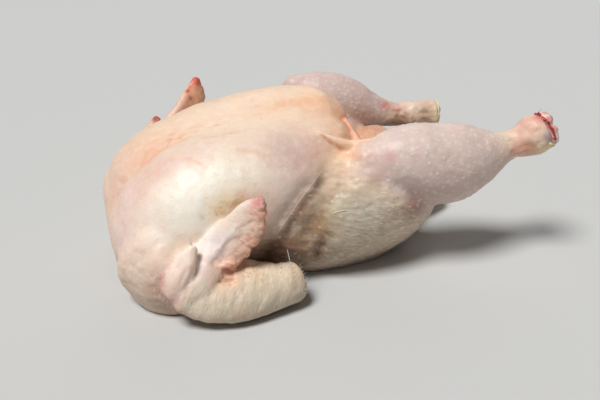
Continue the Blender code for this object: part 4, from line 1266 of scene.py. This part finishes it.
def wetMaterial(name):
    # cartilage is pinkish white and glossy, clots are dark with thin bright edges, hair is pale and clear
    pale, dark, size, roughness, scatter, bump = wetStuff[name]
    settings = {**wetShader, "Roughness": roughness, "Subsurface Weight": scatter}
    material, tree, shader = newMaterial(name, settings)
    place = addNode(tree, "ShaderNodeTexCoord")["Object"]
    lumps = {"Vector": place, "Scale": 1 / (size * millimetre), "Detail": wetPattern["detail"]}
    lump = addNode(tree, "ShaderNodeTexNoise", lumps)["Fac"]
    share = {"Value": lump, "From Min": wetPattern["start"], "From Max": wetPattern["full"]}
    amount = addNode(tree, "ShaderNodeMapRange", share, interpolation_type="SMOOTHSTEP")["Result"]
    mix = {0: amount, 6: linear(pale), 7: linear(dark)}
    colour = addNode(tree, "ShaderNodeMix", mix, data_type="RGBA")[2]
    coloured(tree, shader, colour, lump, bump, wetPattern["rise"])
    return material


# The near hock was cut through the joint: two knuckles of cartilage stand in a ring of clotted blood
hockEnd = {
    "upperKnuckle": ((151, -83, 103, 8, 8), (159.6, -84, 106.8, 8.2, 8.2)),
    "lowerKnuckle": ((153, -90, 95, 9, 9), (160.2, -91, 98, 8.7, 8.7)),
    "gristle": (
        ((156, -80, 98, 5, 5), (162, -82, 100, 4.5, 5)),
        ((156, -93, 102, 4, 4), (161.5, -95, 103.4, 3.5, 4)),
    ),
    "cut": (
        (150.8, -85, 114.3, 0.9, 0.8), (153, -91, 112.9, 1.2, 1.0), (155.8, -96.4, 108.3, 1.1, 1.0),
        (158.4, -99, 102.8, 0.8, 0.8), (160, -99.2, 97.4, 0.55, 0.55), (160.8, -97.8, 92.4, 0.4, 0.4),
    ),
    "clots": {"count": 26, "sizes": (0.55, 1.15), "spread": 1.2, "seed": 31},
    "thread": ((151.5, -87, 115, 0.5, 0.5), (151, -88.6, 118, 0.4, 0.4), (152.4, -89.5, 120, 0.25, 0.25)),
    "skinBit": (
        (153, -98.6, 97, 1.1, 0.9), (156, -99.9, 94.4, 1.5, 1.2), (159.5, -98.9, 93.2, 1.3, 1.0),
        (162, -97.2, 93.6, 0.7, 0.6),
    ),
}
# The far hock was cut square: two low knuckles in a rim of yellow skin
farHockEnd = {
    "centre": (149.4, 57.2, 73.1), "axis": (0.957, -0.287, 0.048), "rim": 9.8, "rimThickness": 0.9,
    "knuckles": (
        ((143, 55.7, 76.5, 5.2, 5.2), (147, 54.5, 77, 4.8, 4.8)),
        ((143, 61.2, 70, 5.6, 5.6), (146.8, 60.2, 70.2, 5.2, 5.2)),
    ),
    "marrow": (149.6, 57.6, 74, 2.3),
}
# The quill left on the near thumb
quill = ((-113, -88, 58.5, 0.9, 0.9), (-113.6, -88, 63, 0.7, 0.7), (-113, -88, 67, 0.3, 0.3))
wetGrain = {"voxel": 0.55, "lumps": ((3.0, 3.0, 3.0), 0.5)}
# Pieces of wet stuff: rounds of smoothing, material, and the seed of the lumps
wetPieces = {
    "hock_cartilage": (4, "cartilage", 21),
    "hock_blood": (2, "clotted blood", 22),
    "far_hock_cartilage": (3, "cartilage", 24),
    "far_hock_marrow": (2, "marrow", 25),
    "hock_skin_edges": (2, "yellow skin edge", 26),
    "thumb_feather": (1, "hair", 23),
}


def rimRows(end):
    axis = unit(np.array(end["axis"]))
    right = unit(np.cross(axis, (0.0, 0.0, 1.0)))
    up = np.cross(right, axis)
    rows = []
    for degrees in range(0, 360, 20):
        a = math.radians(degrees)
        place = np.array(end["centre"]) + end["rim"] * (right * math.cos(a) + up * math.sin(a))
        rows.append(tuple(place) + (end["rimThickness"], end["rimThickness"]))
    return rows + rows[:1]


def wetPiece(name, shapes):
    rounds, material, seed = wetPieces[name]
    mesh = softened(fused(shapes, wetGrain["voxel"]), rounds)
    spots = placesOf(mesh)
    sizes, height = wetGrain["lumps"]
    spots = spots + normalsOf(mesh) * (height * noise(spots, sizes, seed))[:, None]
    putPlaces(mesh, (spots - middle) * landmark)
    return finished(name, mesh, wetMaterial(material))


def ball(x, y, z, radius):
    rows = [(x + step, y, z, radius, radius) for step in (-0.2, 0.2)]
    return loft(rows, yAxis, rings=2, corners=16, ends=(1, 1))


def clots(rows, count, sizes, spread, seed):
    # drops of clotted blood of all sizes strewn along a cut, fewer towards its lower end
    draws = np.random.default_rng(seed)
    line = spaced([row[:3] for row in rows], 100)
    marks = (draws.uniform(0, 1, count) ** 2 * 80).astype(int)
    spots = line[marks] + draws.normal(0, 0.5, (count, 3)) * spread
    return [ball(*spot, radius) for spot, radius in zip(spots, draws.uniform(*sizes, count))]


# Long pale hairs left on the bird: half thickness, as coarse as they need to be to show, and path
hairs = {
    "alongFlank": (
        0.13,
        (
            (-12, -66, 88), (-18, -69.5, 84), (-25, -72, 78), (-34, -74.5, 70), (-42, -75, 60),
            (-50, -72, 47),
        ),
    ),
    "overForearm": (0.2, ((-46, -94, 28), (-47, -94, 36), (-48, -92, 45))),
    "onHand": (0.13, ((-99, -90, 57), (-92, -92.5, 61), (-85, -92.5, 67))),
    "onHandTwo": (0.14, ((-93, -92, 52), (-88, -93, 56), (-80, -92, 60))),
    "onThigh": (0.15, ((-8, -79, 60), (0, -82, 62), (7, -84, 60))),
    "onDrumstick": (0.1, ((70, -97, 92), (84, -99, 86), (98, -97, 80))),
    "atBack": (0.16, ((96, -20, 40), (104, -22, 44), (110, -26, 50))),
}


def hairPiece():
    shapes = bmesh.new()
    for radius, path in hairs.values():
        rows = [(x, y, z, radius, radius) for x, y, z in path]
        strand = bpy.data.meshes.new("strand")
        loft(rows, (0.3, 0.9, 0.3), rings=24, corners=6).to_mesh(strand)
        shapes.from_mesh(strand)
    mesh = bpy.data.meshes.new("hairs")
    shapes.to_mesh(mesh)
    putPlaces(mesh, (placesOf(mesh) - middle) * landmark)
    return finished("hairs", mesh, hairFinish)


print("hairs and bristles")
hairFinish = wetMaterial("hair")
hairPiece()
grown("bristles", bristleTree(), bristles, hairFinish)

print("hock ends")
knuckles = [loft(hockEnd[name], yAxis, rings=6, corners=18) for name in ("upperKnuckle", "lowerKnuckle")]
knuckles += [loft(rows, yAxis, rings=4, corners=14) for rows in hockEnd["gristle"]]
wetPiece("hock_cartilage", knuckles)
blood = clots(hockEnd["cut"], **hockEnd["clots"])
blood.append(loft(hockEnd["cut"], xAxis, rings=26, corners=14))
blood.append(loft(hockEnd["thread"], xAxis, rings=10, corners=10))
wetPiece("hock_blood", blood)
farKnuckles = [loft(rows, yAxis, rings=5, corners=16) for rows in farHockEnd["knuckles"]]
wetPiece("far_hock_cartilage", farKnuckles)
wetPiece("far_hock_marrow", [ball(*farHockEnd["marrow"])])
edges = [loft(rimRows(farHockEnd), farHockEnd["axis"], rings=64, corners=10)]
edges.append(loft(hockEnd["skinBit"], zAxis, rings=14, corners=12))
wetPiece("hock_skin_edges", edges)
wetPiece("thumb_feather", [loft(quill, xAxis, rings=10, corners=12)])

# Camera at the photo's angle: place over the large bird in millimetres, then turned right, down and over
camera = {"place": (-170, -500, 285), "turn": 18.0, "down": 25.4, "roll": 2.0, "lens": 42.0, "sensor": 36.0}


def addCamera():
    turn, down, roll = (math.radians(camera[name]) for name in ("turn", "down", "roll"))
    right = Vector((math.cos(turn), -math.sin(turn), 0))
    forward = Vector((math.sin(turn) * math.cos(down), math.cos(turn) * math.cos(down), -math.sin(down)))
    up = right.cross(forward)
    tiltedRight = right * math.cos(roll) - up * math.sin(roll)
    tiltedUp = right * math.sin(roll) + up * math.cos(roll)
    data = bpy.data.cameras.new("camera")
    data.lens = camera["lens"]
    data.sensor_width = camera["sensor"]
    data.clip_start = 0.01
    thing = placed("camera", data)
    matrix = Matrix((tiltedRight, tiltedUp, -forward)).transposed().to_4x4()
    matrix.translation = (Vector(camera["place"]) - Vector(middle)) * landmark
    thing.matrix_world = matrix
    bpy.context.scene.camera = thing


# Soft lights far off, each with its place, strength and width in degrees, over a plain pale floor
studio = {
    "lights": {"key": ((-0.42, -0.2, 1.0), 3.12, 22), "rim": ((0.5, 0.9, 0.7), 0.34, 50)},
    "sky": ("#FFFFFF", 0.11),
    "paper": {"Base Color": linear("#C8C8C6"), "Roughness": 0.9},
    "halfFloor": 30.0,
}


def addFloor():
    # a flat matt floor of pale paper
    mesh = bpy.data.meshes.new("floor")
    half = studio["halfFloor"]
    corners = [(-half, -half, 0), (half, -half, 0), (half, half, 0), (-half, half, 0)]
    mesh.from_pydata(corners, [], [(0, 1, 2, 3)])
    mesh.materials.append(newMaterial("white paper", studio["paper"])[0])
    placed("floor", mesh)


def addLights():
    for name, (place, strength, wide) in studio["lights"].items():
        data = bpy.data.lights.new(name, "SUN")
        data.energy = strength
        data.angle = math.radians(wide)
        aim = (-Vector(place)).to_track_quat("-Z", "Y")
        placed(name, data).matrix_world = Matrix.LocRotScale(Vector(place), aim, None)


def addWorld():
    world = bpy.data.worlds.new("studio")
    bpy.context.scene.world = world
    world.use_nodes = True
    sky = world.node_tree.nodes["Background"]
    sky.inputs["Color"].default_value = linear(studio["sky"][0])
    sky.inputs["Strength"].default_value = studio["sky"][1]


print("camera, floor and lights")
addCamera()
addFloor()
addLights()
addWorld()
bpy.context.scene.view_settings.view_transform = "Standard"
